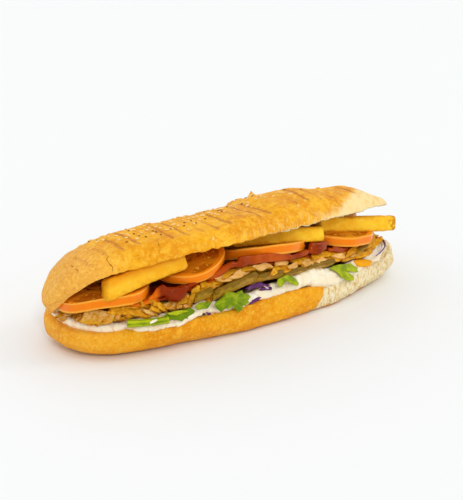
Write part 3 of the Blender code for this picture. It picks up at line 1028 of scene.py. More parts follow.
def meat_slice(pile, start, end, width, thickness, roll, tone, bow, seed, shade=None):
    """Add a slice whose middle runs from start to end. Tone 0 is pale, 1 is spiced."""
    rng = np.random.default_rng(1000 + seed)
    share = np.linspace(0, 1, SLICE_STATIONS)
    path = start + (end - start) * share[:, None]
    path[:, 2] += bow * np.sin(math.pi * share)
    path[:, 1] += 0.5 * np.sin(share * 7 + seed * 2)
    wander = 0.95 + 0.07 * np.sin(share * rng.uniform(5, 9) + seed)
    wander *= np.clip(0.7 + 2.4 * np.minimum(share, 1 - share), 0, 1)
    twist = roll + rng.uniform(-14, 14) * (share - 0.5)
    points, faces, lengthwise, sideways, through = sweep(
        path, width * wander, thickness * (0.95 + 0.06 * np.sin(share * 7 + seed)),
        twist, 9, SLICE_AROUND, ends=0.95, slant=rng.uniform(-2.5, 2.5))
    torn_end = np.exp(-np.minimum(lengthwise, 1 - lengthwise) * 7)
    points += unit(end - start) * (torn_end * 0.9 * cloud(points, 2.0, 64, 1))[:, None]
    points += 0.1 * wobble(points, (3.5, 61 + seed % 7), (3, 62), (3, 63))
    middle = np.interp(lengthwise, share, path[:, 2])
    below = (middle - points[:, 2]) / max(0.5, width / 2 * math.sin(math.radians(abs(roll) + 10)))
    edge = np.maximum(climb(below, 0.35, 0.4), 0.7 * climb(torn_end, 0.75, 0.2))
    # The shade darkens a slice: a random tone when none is given, and painted shade when one is
    # given, for the slices deep in the slit.
    pile.add(points, faces, spice=np.clip(tone + 0.55 * edge, 0, 1.3),
             shade=rng.uniform(0, 1) if shade is None else shade)


# %% Slices that lie in the slit
MEAT_SPOTS = (          # from, to, depth, width, thickness, roll, tone
    ((86, 323.3), (112, 323), -36.2, 3.2, 2.0, 45, 0.6),
    ((112, 317), (121, 316), -36, 2.8, 2.0, 45, 0.8),
    ((107, 310), (153, 314.5), -38.4, 5.4, 2.4, 42, 0.7),
    ((118, 306.5), (140, 307), -36, 3.6, 2.0, 25, 0.8),
    ((144, 312.5), (157, 314), -38.8, 3.4, 1.8, 50, 0.0),
    ((139, 303), (150, 309), -36.4, 4.0, 2.0, 50, 0.8),
    ((151, 303), (166, 309.5), -37.4, 4.6, 2.0, 48, 0.7),
    ((150, 308), (163, 312.5), -38.2, 3.4, 1.8, 40, 0.6),
    ((164, 307.5), (178, 303), -36.9, 4.6, 2.0, 45, 0.4),
    ((170, 309), (187, 304.5), -37.3, 4.2, 2.2, 45, 0.1),
    ((177, 303), (190, 298), -36.5, 4.2, 2.0, 40, 0.7),
    ((198, 288), (192.5, 298), -38, 4.6, 2.0, 78, 0.62),
    ((193.5, 296), (187.5, 307.5), -38, 4.0, 1.8, 75, 0.62),
    ((197, 291), (212, 286), -37, 4.4, 2.0, 35, 0.8),
    ((205, 289.5), (223, 284), -37.3, 3.8, 2.0, 38, 0.5),
    ((199, 286), (222, 281), -36.2, 4.4, 1.8, 30, 0.75),
    ((217, 280.5), (233, 276.8), -37.7, 5.0, 2.4, 52, 0.0),
    ((231, 275.7), (251, 271.7), -37.9, 5.0, 2.4, 52, 0.03),
    ((222, 276), (240, 271), -36.6, 4.2, 1.8, 25, 0.75),
    ((238, 270.5), (258, 266.5), -36.2, 5.0, 2.0, 25, 0.7),
    ((255, 268.8), (270, 265.5), -37.9, 4.4, 2.4, 52, 0.0),
    ((269, 272), (291, 268.8), -37.7, 5.0, 2.4, 46, 0.9),
    ((274, 265), (288, 263.3), -37.4, 2.6, 1.8, 50, 0.05),
    ((289, 266.5), (300, 264.5), -37.7, 3.6, 2.2, 50, 0.05),
    ((301, 264.6), (313, 262.6), -37.6, 4.4, 2.2, 54, 0.0),
    ((314.5, 262.6), (327, 260.2), -37.6, 4.8, 2.2, 50, 0.03),
    ((292, 263), (312, 259.5), -36, 4.6, 1.8, 28, 0.8),
    ((310, 258), (330, 254), -35.8, 4.6, 2.0, 25, 0.75),
    ((326, 260.5), (341, 258), -36.2, 4.4, 2.2, 45, 0.6),
    ((334, 258), (347, 255), -36.8, 3.8, 2.0, 55, 0.0),
    ((341, 259), (358, 256), -35.6, 4.2, 2.2, 45, 0.65),
    ((349.5, 255), (364, 251.5), -36, 3.8, 2.0, 55, 0.05),
    ((330, 254.5), (352, 251), -34.2, 4.6, 2.0, 22, 0.7),
    ((346, 254), (362, 247), -33, 4.4, 1.8, 50, 0.75),
    ((354, 252), (372, 243), -31.5, 4.2, 1.8, 52, 0.7),
    ((358, 247), (376, 238), -30, 4.4, 1.8, 48, 0.6),
    ((364, 252), (380, 241), -28.5, 4.4, 1.8, 55, 0.75),
    ((371, 247), (382, 238), -25, 4.0, 1.8, 58, 0.6),
    ((356, 257.5), (372, 252), -32, 3.2, 1.8, 45, 0.7))
MEAT_END_SPOTS = (      # from, to, height, width, thickness, roll, tone
    ((82, 317.2), (113, 318.5), 25.5, 8.2, 2.6, 60, 0.30),
    ((58, 315), (70, 314), 21, 4, 2.0, 35, 0.75),
    ((66, 313.5), (79, 312.8), 22.5, 3.6, 2.2, 45, 0.0),
    ((72, 317), (84, 317.5), 21, 3.6, 2.0, 40, 0.7),
    ((78, 311.5), (92, 310.8), 24, 4.4, 2.0, 35, 0.8),
    ((60, 318.5), (74, 319.5), 19.8, 3.2, 2.0, 30, 0.4),
    ((76, 314.5), (88, 313.5), 22.6, 3.8, 2.0, 50, 0.65))
OVERLAP = 0.6           # spots by which a slice falls short, so that neighbours lap
TURN_IN = 0.8
meat = Pile()
core_points, core_faces = CHICKEN.body(160, shrink=3.2, lower=1.6)
core_points += 0.8 * wobble(core_points, (6, 51), (6, 52), (4, 53)) * (1, 1, 0.6)
# The core's shade of 0.8 is painted shade: it lies hidden behind the slices.
meat.add(core_points, core_faces, spice=0.6 + 0.3 * cloud(core_points, 8, 54), shade=0.8)
for number, ((x0, y0), (x1, y1), depth, *habit) in enumerate(MEAT_SPOTS):
    place = edge_spot if depth < -34 else at_depth
    meat_slice(meat, place(x0 + OVERLAP, y0, depth - TURN_IN),
               place(x1 - OVERLAP, y1, depth + TURN_IN), *habit, SLICE_BOW, number)
# The slices at the left end get a shade of 1.0, painted shade deep in the slit.
for number, (start, end, height, *habit) in enumerate(MEAT_END_SPOTS):
    meat_slice(meat, at_height(*start, height), at_height(*end, height), *habit, SLICE_BOW,
               100 + number, 1.0)

# %% Slices all round the heap
EDGE_SLICES = 170
rng = np.random.default_rng(7)
for number in range(EDGE_SLICES):
    angle = math.tau * (number + rng.uniform(-0.3, 0.3)) / EDGE_SLICES
    front = max(0.0, -math.sin(angle))
    x, y = CHICKEN.outline(np.array([angle]), -rng.uniform(2.5, 6) - 3 * front)
    ahead_x, ahead_y = CHICKEN.outline(np.array([angle + 0.02]), -3)
    low, high = chicken_floor(x, y)[0] + 1.5, chicken_top(x, y)[0] - 1.5
    height = rng.uniform(low, max(high, low + 0.5))
    heading = np.array([ahead_x[0] - x[0], ahead_y[0] - y[0], 0.0])
    heading = unit(heading + rng.normal(0, 0.25, 3) * np.linalg.norm(heading) * (1, 1, 0.2))
    reach = heading * rng.uniform(5, 10)
    middle = np.array([x[0], y[0], height])
    meat_slice(meat, middle - reach, middle + reach, rng.uniform(4.5, 7.5),
               rng.uniform(1.6, 2.4), rng.uniform(-10, 50),
               rng.choice((0.0, 0.3, 0.7, 0.85)), rng.uniform(-0.4, 0.8), 200 + number)


def meat_finish():
    finish = Finish("roast_chicken", 0.42, 0.22, 0.06, (3, 1.5, 0.6), (1, 0.8, 0.4))
    fibres = finish.noise(1.0, 3, 0.6, stretch=(6, 1.4, 1))
    finish.colour = finish.mix(finish.step(fibres, 0.3, 0.7), (0.92, 0.57, 0.20),
                               (0.74, 0.36, 0.07))
    gold = finish.mix(finish.patches(2.2, 3, 0.35, 0.65), (0.84, 0.43, 0.012),
                      (0.66, 0.25, 0.006))
    brown = finish.mix(finish.noise(1.2, 3), (0.56, 0.18, 0.004), (0.24, 0.065, 0.002))
    spice = finish.mottled("spice", 2.2, 4, 0.3, 0.7, -0.25, 0.25)
    finish.coat(finish.step(spice, 0.25, 0.5), gold)
    finish.coat(finish.step(spice, 0.85, 1.3, 0.0, 0.9), brown)
    # Darkened by the shade value: a random tone on most slices, painted shade on the core and the
    # slices at the left end.
    finish.coat(finish.step(finish.value("shade"), 0.2, 1.0, 0.0, 0.35), (0.38, 0.15, 0.012))
    pepper = finish.step(finish.cells(1.9), 0.08, 0.15, 0.6, 0.0)
    finish.coat(pepper, (0.12, 0.035, 0.004))
    finish.relief(fibres, 0.3)
    finish.relief(finish.noise(0.6, 2), 0.08)
    return finish.done()


chicken = meat.build("chicken_slices", meat_finish())
chicken.data.set_sharp_from_angle(angle=math.radians(40))
stand_for(chicken, "meat", "chicken")

# %% [markdown]
# ## Red cabbage
# Fine shreds, dark violet outside and nearly white inside. They lie in every direction on
# the sauce. Hair strands could be strewn there, but a shred has two different faces and a
# thickness, so a low violet bed is covered with curved ribbons instead. A few are set one
# by one where they hang out of the slit.

# %% Shreds of cabbage
def shred(pile, stops, width, thickness, roll, tone):
    path = curve_through(stops, 14)
    share = np.linspace(0, 1, 14)
    taper = np.clip(0.35 + 3 * np.minimum(share, 1 - share), 0, 1)
    points, faces, lengthwise, sideways, through = sweep(
        path, width * taper, thickness, roll + 25 * (share - 0.5), 3.5, 12, ends=0.6)
    points += 0.12 * cloud(points, 2, 71)[:, None]
    pile.add(points, faces, violet=tone - 0.5 * np.maximum(-through, 0))


CABBAGE_SPOTS = (       # a path of spots, depth, width, thickness, roll, tone
    (((246, 288.5), (252, 287), (258, 284.5), (263, 283)), -37.5, 2.6, 1.0, 60, 0.75),
    (((259, 290), (267, 288.5), (277, 289)), -38.2, 2.2, 1.0, 50, 1.0),
    (((256, 286.5), (263, 285), (270, 285.5)), -37.5, 1.6, 0.9, 50, 0.9),
    (((264, 286), (271, 290), (278, 291)), -38.4, 1.2, 0.8, 60, 0.15),
    (((249.5, 304), (255, 300), (261, 297.5)), -40.5, 2.0, 1.0, 55, 0.9),
    (((349, 259), (357, 258), (366, 255.5)), -31.5, 1.5, 0.9, 40, 1.0),
    (((352, 272), (356, 272.5), (360, 271)), -34.5, 1.6, 0.9, 50, 0.9),
    (((206, 312), (208.5, 314), (211, 313)), -39.5, 1.4, 0.8, 50, 0.7))
CABBAGE_END_SPOTS = (   # a path of spots, height, width, thickness, roll, tone
    (((376, 237), (382, 239.5), (385, 245), (382, 251), (376, 256)), 26, 1.5, 0.9, 60, 1.0),
    (((377, 240), (381, 243), (382, 247), (379, 252), (374, 256)), 25.5, 1.1, 0.8, 60, 0.15),
    (((374, 236), (378, 239), (380, 243)), 27.5, 1.2, 0.8, 60, 0.9))
cabbage = Pile()
cabbage.add(*CABBAGE.body(120, shrink=8, lower=2.0), violet=0.9)
for path, depth, *habit in CABBAGE_SPOTS:
    shred(cabbage, [edge_spot(*spot, depth) for spot in path], *habit)
for path, height, *habit in CABBAGE_END_SPOTS:
    shred(cabbage, [at_height(*spot, height) for spot in path], *habit)

# %% Shreds strewn over the bed
SHREDS = 170
SHRED_CLEAR = 0.8
rng = np.random.default_rng(11)
for number in range(SHREDS):
    angle = rng.uniform(-0.35, 3.3)
    x, y = CABBAGE.outline(np.array([angle]), -rng.uniform(0, 6))
    x, y = x[0], y[0]
    height = rng.uniform(cabbage_floor(x, y) + 0.3, cabbage_top(x, y) + 0.4)
    turn = rng.uniform(0, math.tau) if rng.random() < 0.3 else rng.normal(0, 0.5)
    turn += math.atan2(math.cos(angle), -3 * math.sin(angle))
    length = rng.uniform(5, 11)
    ahead = np.array([math.cos(turn), math.sin(turn), 0])
    aside = np.array([-ahead[1], ahead[0], 0]) * rng.uniform(-3, 3)
    middle = np.array([x, y, height])
    stops = [middle - ahead * length, middle + aside + (0, 0, rng.uniform(-0.3, 0.8)),
             middle + ahead * length]
    for stop in stops:
        stop[:2] *= min(1, 0.9 / plan_radius(stop[0], stop[1]))
        stop[2] = max(stop[2], sauce_level(stop[0], stop[1]) + SHRED_CLEAR)
    shred(cabbage, stops, rng.uniform(1.6, 3), rng.uniform(0.7, 1.1), rng.uniform(-30, 60),
          rng.choice((0.25, 0.8, 1.0, 1.0)))


def cabbage_finish():
    finish = Finish("red_cabbage", 0.3, 0.25, 0.1, (1, 0.8, 1))
    violet = finish.mix(finish.noise(3, 3), (0.05, 0.006, 0.06), (0.17, 0.03, 0.19))
    finish.colour = finish.mix(finish.noise(2, 3), (0.62, 0.44, 0.55), (0.80, 0.70, 0.66))
    tone = finish.mottled("violet", 2.2, 3, 0.3, 0.7, -0.2, 0.2)
    finish.coat(finish.step(tone, 0.3, 0.6), violet)
    finish.relief(finish.noise(1.0, 3, stretch=(4, 1, 1)), 0.2)
    return finish.done()


stand_for(cabbage.build("cabbage_shreds", cabbage_finish()), "cabbage", "red_cabbage")

# %% [markdown]
# ## Ketchup
# Ketchup is dark and very glossy, and it gathers in drops under the tomato. It is made as
# the sauce is, for the same reason: the thin packed layer is melted together with streaks
# and drops squeezed along the front. Where it is smeared out it looks lighter, and a value
# on the mesh says where that is. At the left end, where the fry shades it, the same value
# makes it much lighter still: painted light.

# %% Ketchup between the meat and the tomato
KETCHUP_STREAKS = (     # each a line of: spot across, spot down, depth, radius
    ((165, 290, -36.6, 1.6), (168, 294.5, -37, 2.4), (174.5, 297.5, -37.4, 3.0),
     (181, 294.5, -37.2, 2.6), (186, 288.5, -36.8, 1.7)),
    ((167, 290, -36, 2.0), (176, 291, -36.4, 2.4), (184, 288, -36.4, 1.9)),
    ((155, 296, -36.8, 1.7), (162, 293, -37, 2.0), (169, 291.5, -37, 2.2)),
    ((133, 305.5, -37, 0.9), (141, 305.5, -37.2, 1.2), (149, 302, -37, 1.1)),
    ((150, 299, -36.4, 1.3), (155, 295, -36.4, 1.6), (158, 290, -36.4, 1.6),
     (163, 287, -36.4, 1.6)),
    ((189, 285.5, -36, 1.4), (199, 281.5, -36.6, 1.4), (208, 277.5, -36.8, 1.5),
     (216, 274, -36.8, 1.8), (224, 268.5, -36.6, 1.9), (231, 265, -36.6, 1.9),
     (239, 264.5, -37, 2.0), (247, 262.5, -37, 2.0), (258, 260.5, -37, 1.9),
     (270, 259, -37, 2.0), (283, 258, -36.9, 1.8), (296, 256, -36.7, 1.7),
     (306, 252.5, -36.2, 1.8)),
    ((212, 279, -37.2, 0.9), (219, 275.5, -37.4, 1.1), (227, 269.5, -37.2, 1.0)),
    ((240, 259, -36.6, 1.6), (262, 256, -36.8, 1.7), (288, 253.5, -36.6, 1.5)),
    ((239, 265, -37.4, 1.7), (245, 264.5, -37.4, 1.6)),
    ((311, 250.5, -35.6, 2.2), (317, 250.3, -36.2, 2.9), (323, 247.5, -35.6, 2.4)),
    ((312, 245.5, -35, 2.2), (319, 245, -35.2, 2.4), (326, 243, -34.6, 1.8)),
    ((329, 249.5, -34.4, 1.4), (340, 252, -34.6, 1.4), (351, 251.5, -34, 1.3),
     (360, 248, -32.4, 0.9)),
    ((334, 247.5, -34.2, 1.5), (347, 249, -34, 1.5), (356, 246.5, -32.8, 1.1)))
ketchup_pile = Pile()
ketchup_pile.add(*KETCHUP.body(160))
for stops in KETCHUP_STREAKS:
    squeeze(ketchup_pile, edge_spot, stops, step=0.8)
ketchup = melt(ketchup_pile, "ketchup_pool", 0.55, 5)
p, n = read_points(ketchup.data)
write_points(ketchup.data, p + n * (0.3 * cloud(p, 3.4, 81, 2))[:, None])
BIG_DROP = 42           # where along the roll the ketchup lies thickest
thin = np.clip(0.6 + 0.6 * cloud(p, 9, 82), 0, 1)
thin *= climb(p[:, 0], -62, 30) * (1 - bump(p[:, 0], BIG_DROP, 6))
# Painted light: at the left end, where the fry shades it, the value rises past 1.
thin += 2 * fall(p[:, 0], -73, 4)
write_values(ketchup.data, "thin", thin)


def ketchup_finish():
    finish = Finish("ketchup", 0.08, 0.6, 0.05, (2, 0.4, 0.2), (1, 0.35, 0.12))
    finish.colour = (0.22, 0.014, 0.0005)
    finish.coat(finish.value("thin"), (0.50, 0.075, 0.002))
    # Painted light: a bright orange red where the value passes 1, at the left end.
    finish.coat(finish.step(finish.value("thin"), 1, 2), (0.74, 0.16, 0.003))
    finish.relief(finish.noise(3.2, 2), 0.6)
    return finish.done()


ketchup.data.materials.append(ketchup_finish())
stand_for(ketchup, "ketchup", "ketchup")

# %% [markdown]
# ## Tomato slices
# A slice of tomato has a thin bright skin, a firm wall, and soft pockets with seeds. Some
# are cut off straight at the back, where they lie against the bread. A disc with a pattern
# would be flat, so the slice is built from rings: a point's share of the way to the skin
# tells what it is, the pockets are pressed in a little and the seeds stand up in them.
# Just inside the skin a paler ring is painted on: a painted highlight along the edge.

# %% Rings of a tomato slice
TOMATOES = {            # middle, half length, half width, back cut, slope, thickness, droop
    "tomato_1": ((-95.5, -5, 31.4), 29, 28.5, 6, (0.0, -0.04), 6.2, 10),
    "tomato_2": ((-41.5, -13, 41.6), 22.5, 25, 0, (0.22, 0.13), 5.2, 0),
    "tomato_3": ((13, -13, 33.2), 31, 25.5, 0, (-0.10, -0.33), 6.5, 0),
    "tomato_4": ((73, -12, 33.5), 26.5, 26, 0, (-0.125, 0.0), 6, 0),
    "tomato_5": ((84, 6, 31.8), 20.5, 19.5, 17, (0.0, -0.41), 5, 0)}
POCKETS = 5
POCKET_DEPTH = 0.7
RIND_STEPS = ((0.965, 0.0), (0.985, 0.07), (1.0, 0.28), (1.004, 0.5), (1.0, 0.72),
              (0.985, 0.93), (0.965, 1.0))      # share of the radius, share of the thickness


def tomato_slice(middle, half_length, half_width, depth, slope, thickness, droop, seed):
    """Points, faces, and what each point is: skin at 1, heart at 0, and pocket depth."""
    angles = ring_angles(150)
    inner = np.linspace(0.06, 0.93, 20)
    levels = [(s, 0.0) for s in inner] + list(RIND_STEPS) + [(s, 1.0) for s in inner[::-1]]
    rings = []
    skins = []
    pockets = []
    lobes = 1 + 0.012 * np.sin(3 * angles + seed) + 0.008 * np.sin(5 * angles + 2 * seed)
    spoke = 0.5 + 0.5 * np.cos(POCKETS * angles + seed)
    centre_y = middle[1] + (depth - half_width) / 2
    rim_y = middle[1] + np.minimum(half_width * np.sin(angles), depth) * lobes
    for scale, level in levels:
        x = middle[0] + half_length * np.cos(angles) * scale * lobes
        y = centre_y + (rim_y - centre_y) * scale
        pull = np.minimum(1, 0.975 / plan_radius(x, y))
        x, y = x * pull, y * pull
        z = middle[2] + slope[0] * (x - middle[0]) + slope[1] * (y - middle[1])
        z -= droop * np.exp(-(x + HALF_LENGTH) / 6)
        pocket = climb(scale, 0.28, 0.12) * (1 - climb(scale, 0.72, 0.12))
        pocket = pocket * climb(spoke, 0.12, 0.3)
        seeds = climb(cloud(stack(x, y * 0.6, seed), 1.8, 90), 0.35, 0.2)
        sink = pocket * (POCKET_DEPTH - 0.6 * seeds)
        z = z + level * thickness + (-sink if level > 0.5 else sink) * (scale < 0.95)
        rings.append(stack(x, y, z + 0.12 * cloud(stack(x, y, z), 4, 91)))
        skins.append(scale)
        pockets.append(pocket * (1 + seeds))
    points, faces = loft(rings)
    size = (len(levels), len(angles))
    return points, faces, loft_values(np.array(skins)[:, None], *size), loft_values(pockets, *size)


def tomato_finish():
    finish = Finish("ripe_tomato", 0.18, 0.35, 0.2, (4, 1.2, 0.4), (1, 0.6, 0.3))
    wall = finish.mix(finish.noise(5, 3), (0.88, 0.235, 0.002), (0.92, 0.33, 0.010))
    gel = finish.mix(finish.noise(2, 3), (0.46, 0.11, 0.003), (0.62, 0.19, 0.006))
    skin = finish.mix(finish.noise(6, 3), (0.86, 0.18, 0.002), (0.92, 0.26, 0.005))
    finish.colour = finish.mix(finish.noise(3, 3), (0.62, 0.19, 0.005), (0.74, 0.29, 0.012))
    finish.coat(finish.step(finish.value("skin"), 0.74, 0.84), wall)
    finish.coat(finish.step(finish.value("pocket"), 0.3, 0.8), gel)
    finish.coat(finish.step(finish.value("pocket"), 1.35, 1.8), (0.86, 0.42, 0.03))
    # Painted highlight: a paler ring just inside the skin, where the slice's edge would catch the
    # light.
    finish.coat(finish.step(finish.value("skin"), 0.968, 0.982), (0.93, 0.40, 0.04))
    finish.coat(finish.step(finish.value("skin"), 0.988, 0.998), skin)
    finish.relief(finish.noise(1.4, 3), 0.15)
    return finish.done()


tomato_skin = tomato_finish()
for number, (node, sizes) in enumerate(TOMATOES.items()):
    points, faces, skin, pocket = tomato_slice(*sizes, seed=number * 1.7 + 0.5)
    single(node + "_slice", tomato_skin, "tomato", node, points, faces, skin=skin, pocket=pocket)

# %% [markdown]
# ## Fries and pickles
# Both are straight-cut sticks with softened corners. A fry is blistered and darkest along
# its edges and at its tips. A pickle is olive and glassy, with a darker rind on one side.
# A bevelled box would be too exact, so a stick is lofted from squared-off rings whose size
# wanders, and one end may be cut at a slant.

# %% A stick from its lower front edge
STICK_POWER = 4.5


def stick(start, end, width, height, roll, bow, cut, stations, around, rough, seed):
    """Points and faces, and for each point how near it is to a corner and to a tip, how
    high on the stick it lies (-1 to 1) and its place along it (0 to 1)."""
    start = np.array(start, float)
    end = np.array(end, float)
    axis = unit(end - start)
    level = unit(np.cross((0, 0, 1), axis))
    upright = np.cross(axis, level)
    turn = math.radians(roll)
    across = level * math.cos(turn) - upright * math.sin(turn)
    over = level * math.sin(turn) + upright * math.cos(turn)
    length = np.linalg.norm(end - start)
    tip = 0.18 * height / length
    share = np.concatenate([(0, tip * 0.12, tip * 0.4, tip), np.linspace(tip * 2, 1 - tip * 2,
                            stations), (1 - tip, 1 - tip * 0.4, 1 - tip * 0.12, 1)])
    near_end = np.minimum(share, 1 - share) / tip
    size = 0.86 + 0.14 * smooth(near_end) ** 0.5
    size *= 1 + 0.02 * np.sin(share * 9 + seed) + 0.015 * np.sin(share * 23 + seed)
    c, s = squared_circle(ring_angles(around), STICK_POWER)
    middle = (start + (end - start) * share[:, None] + across * width / 2 + over * height / 2
              + over * (bow * np.sin(math.pi * share))[:, None])
    rings = (middle[:, None] + across * (c[None, :, None] * size[:, None, None] * width / 2)
             + over * (s[None, :, None] * size[:, None, None] * height / 2))
    slant = cut * height / 2 * np.exp(-share * length / 9)[:, None] * s
    rings -= axis * slant[..., None]
    points, faces = loft(rings)
    points += rough * wobble(points, (3.5, 31 + seed), (3.5, 32 + seed), (3.5, 33 + seed))
    size = (len(share), around)
    return (points, faces, loft_values(np.abs(c * s) ** 1.5, *size),
            loft_values(np.exp(-near_end * tip * length / 2.5)[:, None], *size, (1, 1)),
            loft_values(s, *size), loft_values(share[:, None], *size, (0, 1)))


# %% Fries
FRIES = {               # start, end, width, height, roll, bow, slanted cut
    "fry_1": ((-105, -32.4, 37.4), (-53, -34, 45.8), 10.5, 12, 18, 0.4, -0.35),
    "fry_2": ((-8, -16, 43.6), (45, -38, 42.8), 9, 9.2, 18, 0.3, 0),
    "fry_3": ((56, -22, 41.8), (108, -34.5, 35.6), 10, 9.8, 14, -0.4, 0)}


def fry_finish():
    finish = Finish("fried_potato", 0.38, 0.2, 0.08, (3, 2, 0.6), (1, 0.8, 0.35))
    finish.colour = (0.95, 0.465, 0.010)
    finish.coat(finish.patches(9, 3, 0.35, 0.65), (0.98, 0.59, 0.030))
    finish.coat(finish.patches(2.0, 3, 0.52, 0.75, 0, 0.5), (0.98, 0.68, 0.09))
    finish.coat(finish.value("deep"), (0.80, 0.27, 0.004))
    edge = finish.mottled("edge", 3, 3, 0.3, 0.7, -0.3, 0.3)
    finish.coat(finish.step(edge, 0.35, 1.0, 0, 0.5), (0.72, 0.26, 0.005))
    toast = finish.mottled("toast", 2.5, 4, 0.3, 0.75, -0.6, 0.4)
    finish.coat(finish.step(toast, 0.2, 0.8, 0, 0.75), (0.50, 0.15, 0.004))
    finish.relief(finish.noise(1.3, 3), 0.3)
    finish.relief(finish.noise(0.4, 2), 0.06)
    return finish.done()


potato = fry_finish()
for number, (node, sizes) in enumerate(FRIES.items()):
    points, faces, corner, tips, top, lengthwise = stick(*sizes, 44, 40, 0.25, number)
    single(node + "_stick", potato, "fries", node, points, faces,
           edge=np.clip(corner + 0.2 * tips, 0, 1),
           toast=climb(lengthwise, 0.86, 0.12) if node == "fry_3" else 0.0,
           deep=0.25 + 0.5 * smooth(top * 1.4) if node == "fry_1" else 0.0)

# %% Pickles
PICKLES = {             # start, end, width, height, roll
    "pickle_1": ((-39, -37, 22.6), (-8, -36.8, 27.5), 3.2, 9.5, -36),
    "pickle_2": ((-52, -36.8, 24), (-40, -36.8, 25.5), 3.0, 8, -32),
    "pickle_3": ((-8, -36.2, 26.8), (12, -36.4, 25.5), 3.2, 6.5, -40),
    "pickle_4": ((13, -36.4, 25.2), (31, -36.2, 24.6), 3.2, 5.5, -45),
    "pickle_5": ((33, -36, 25), (54, -35, 23.6), 3.2, 5.5, -45),
    "pickle_6": ((-107.5, -23, 22), (-99.5, -27.5, 22), 3.2, 5, -30),
    "pickle_7": ((76, -33, 25.5), (91, -28, 26), 3.2, 5, -40)}
PICKLE_BOW = 0.3


def pickle_finish():
    finish = Finish("pickled_cucumber", 0.22, 0.25, 0.2, (2, 2, 0.6), (1, 0.8, 0.4))
    skin = finish.mix(finish.noise(2, 3), (0.16, 0.075, 0.002), (0.26, 0.14, 0.005))
    finish.colour = finish.mix(finish.noise(4, 3), (0.38, 0.185, 0.006), (0.52, 0.30, 0.02))
    rind = finish.mottled("rind", 5, 2, 0.3, 0.7, -0.25, 0.25)
    finish.coat(finish.step(rind, 0.4, 0.9), skin)
    finish.relief(finish.noise(1.5, 3), 0.3)
    return finish.done()


brine = pickle_finish()
for number, (node, sizes) in enumerate(PICKLES.items()):
    points, faces, corner, tips, top, lengthwise = stick(*sizes, PICKLE_BOW, 0, 30, 28, 0.12,
                                                         5 + number)
    single(node + "_slab", brine, "pickle", node, points, faces, rind=top)

# %% [markdown]
# ## Carrot, herbs and a thick stem
# A leaf could be a flat cut-out, but it would have no thickness and catch no light. So it
# is a thin closed shell over an outline with its lobes and notches. It is laid out from
# spots of the frame round a middle spot, bulges a little, and has a crease along each
# lobe. The stem is a ribbed tube with lighter stripes, cut off square, and a smear of
# sauce lies on it.

# %% Leaves from outlines
LEAF_ROWS = 9
LEAF_THICKNESS = 0.35
LEAF_HEART = 0.12       # size of the smallest ring, as a share of the leaf
LOBE_REACH = 3          # rim points to each side that a lobe's tip stands out over


def leaf(pile, outline, heart, depth, lean, curl, tone):
    """A leaf: outline and heart as spots, lean the rise of depth towards the top spots."""
    outline = np.array(outline, float)
    fine = []
    for i in range(len(outline)):
        for share in (0.0, 0.25, 0.5, 0.75):
            fine.append(outline[i] + (outline[(i + 1) % len(outline)] - outline[i]) * share)
    rim = np.array([edge_spot(px, py, depth + lean * (heart[1] - py)) for px, py in fine])
    count = len(rim)
    middle = edge_spot(*heart, depth)
    reach = np.linalg.norm(rim - middle, axis=1)
    toward = unit(np.array(eye) / MM - middle)
    ridge = reach / reach.max()
    vein = np.zeros(count)
    for i in range(count):
        if reach[i] >= max(np.roll(reach, LOBE_REACH - i)[:2 * LOBE_REACH + 1]):
            from_tip = np.abs((np.arange(count) - i + count // 2) % count - count // 2)
            vein = np.maximum(vein, bump(from_tip, 0, 0.9))
    scales = np.linspace(LEAF_HEART, 1, LEAF_ROWS)
    rows = []
    for scale in scales:
        ring = middle + (rim - middle) * scale
        lift = curl * (1 - scale ** 2) + 0.5 * np.sin(ridge * 9) * scale - 0.45 * vein * scale
        rows.append(ring + toward * lift[:, None])
    half = toward * LEAF_THICKNESS / 2
    rows = np.array(rows)
    points, faces = loft(np.concatenate([rows + half, rows[::-1] - half]))
    fading = 1 - 0.5 * np.concatenate([scales, scales[::-1]])[:, None]
    pile.add(points, faces, lime=tone, vein=loft_values(vein * fading, 2 * LEAF_ROWS, count))


PARSLEY = ((227, 291), (232, 292), (236, 293), (238, 291.5), (242, 290), (243.5, 293),
           (249, 294.5), (251, 297), (249, 299), (248, 301), (250, 303), (247, 303.5),
           (246, 306), (243, 305.5), (243, 309), (241, 310), (239.5, 313), (236, 309.5),
           (234, 309), (233.5, 305), (231, 308), (228, 309.5), (225, 307), (225, 309),
           (221, 312), (217, 309), (214, 304.5), (216, 302), (220, 299), (224, 295))
DARK_LEAF = ((164, 315.5), (168, 312.5), (175, 311), (183, 310), (190, 307.5), (195, 310.5),
             (194, 313), (190, 316), (188, 319), (185, 318.5), (182, 321.5), (177, 320),
             (170, 319.5))
LIME_EDGE = ((167, 313.5), (173, 311.5), (182, 310), (187, 310.5), (189, 311.5), (183, 313),
             (176, 315.5), (170, 315))
GREEN_BIT = ((195, 306), (199, 303), (206, 301.5), (212, 302), (210, 305), (208, 308.5),
             (203, 309), (197, 310))
CURL = ((277, 283), (277.5, 279.5), (281, 277.5), (287, 275), (292, 276), (296, 279),
        (299, 283.5), (298, 286), (294, 285), (291, 281.5), (287, 280.5), (284, 283),
        (282, 287), (279, 286.5))
TWO_LOBES = ((329, 268.5), (333, 266), (339, 264.5), (346, 264), (351, 263.2), (354, 266),
             (358, 267.5), (357, 269.5), (358.5, 272), (355, 272.5), (350, 271.5),
             (346, 271), (351, 274), (354, 277.5), (353.5, 280.5), (348, 281), (342, 278),
             (338, 273), (334, 270.5))
greens = Pile()
leaf(greens, PARSLEY, (232, 299), -41.5, 0.25, 1.6, 0.35)
leaf(greens, DARK_LEAF, (180, 315), -43, 0.35, 1.0, 0.1)
leaf(greens, LIME_EDGE, (178, 313), -43.8, 0.35, 0.6, 1.0)
leaf(greens, GREEN_BIT, (204, 305.5), -41.6, 0.3, 1.0, 0.3)
leaf(greens, CURL, (284, 280), -41.5, 0.3, 0.9, 0.5)
leaf(greens, TWO_LOBES, (343, 269.5), -40.5, 0.3, 0.7, 0.55)


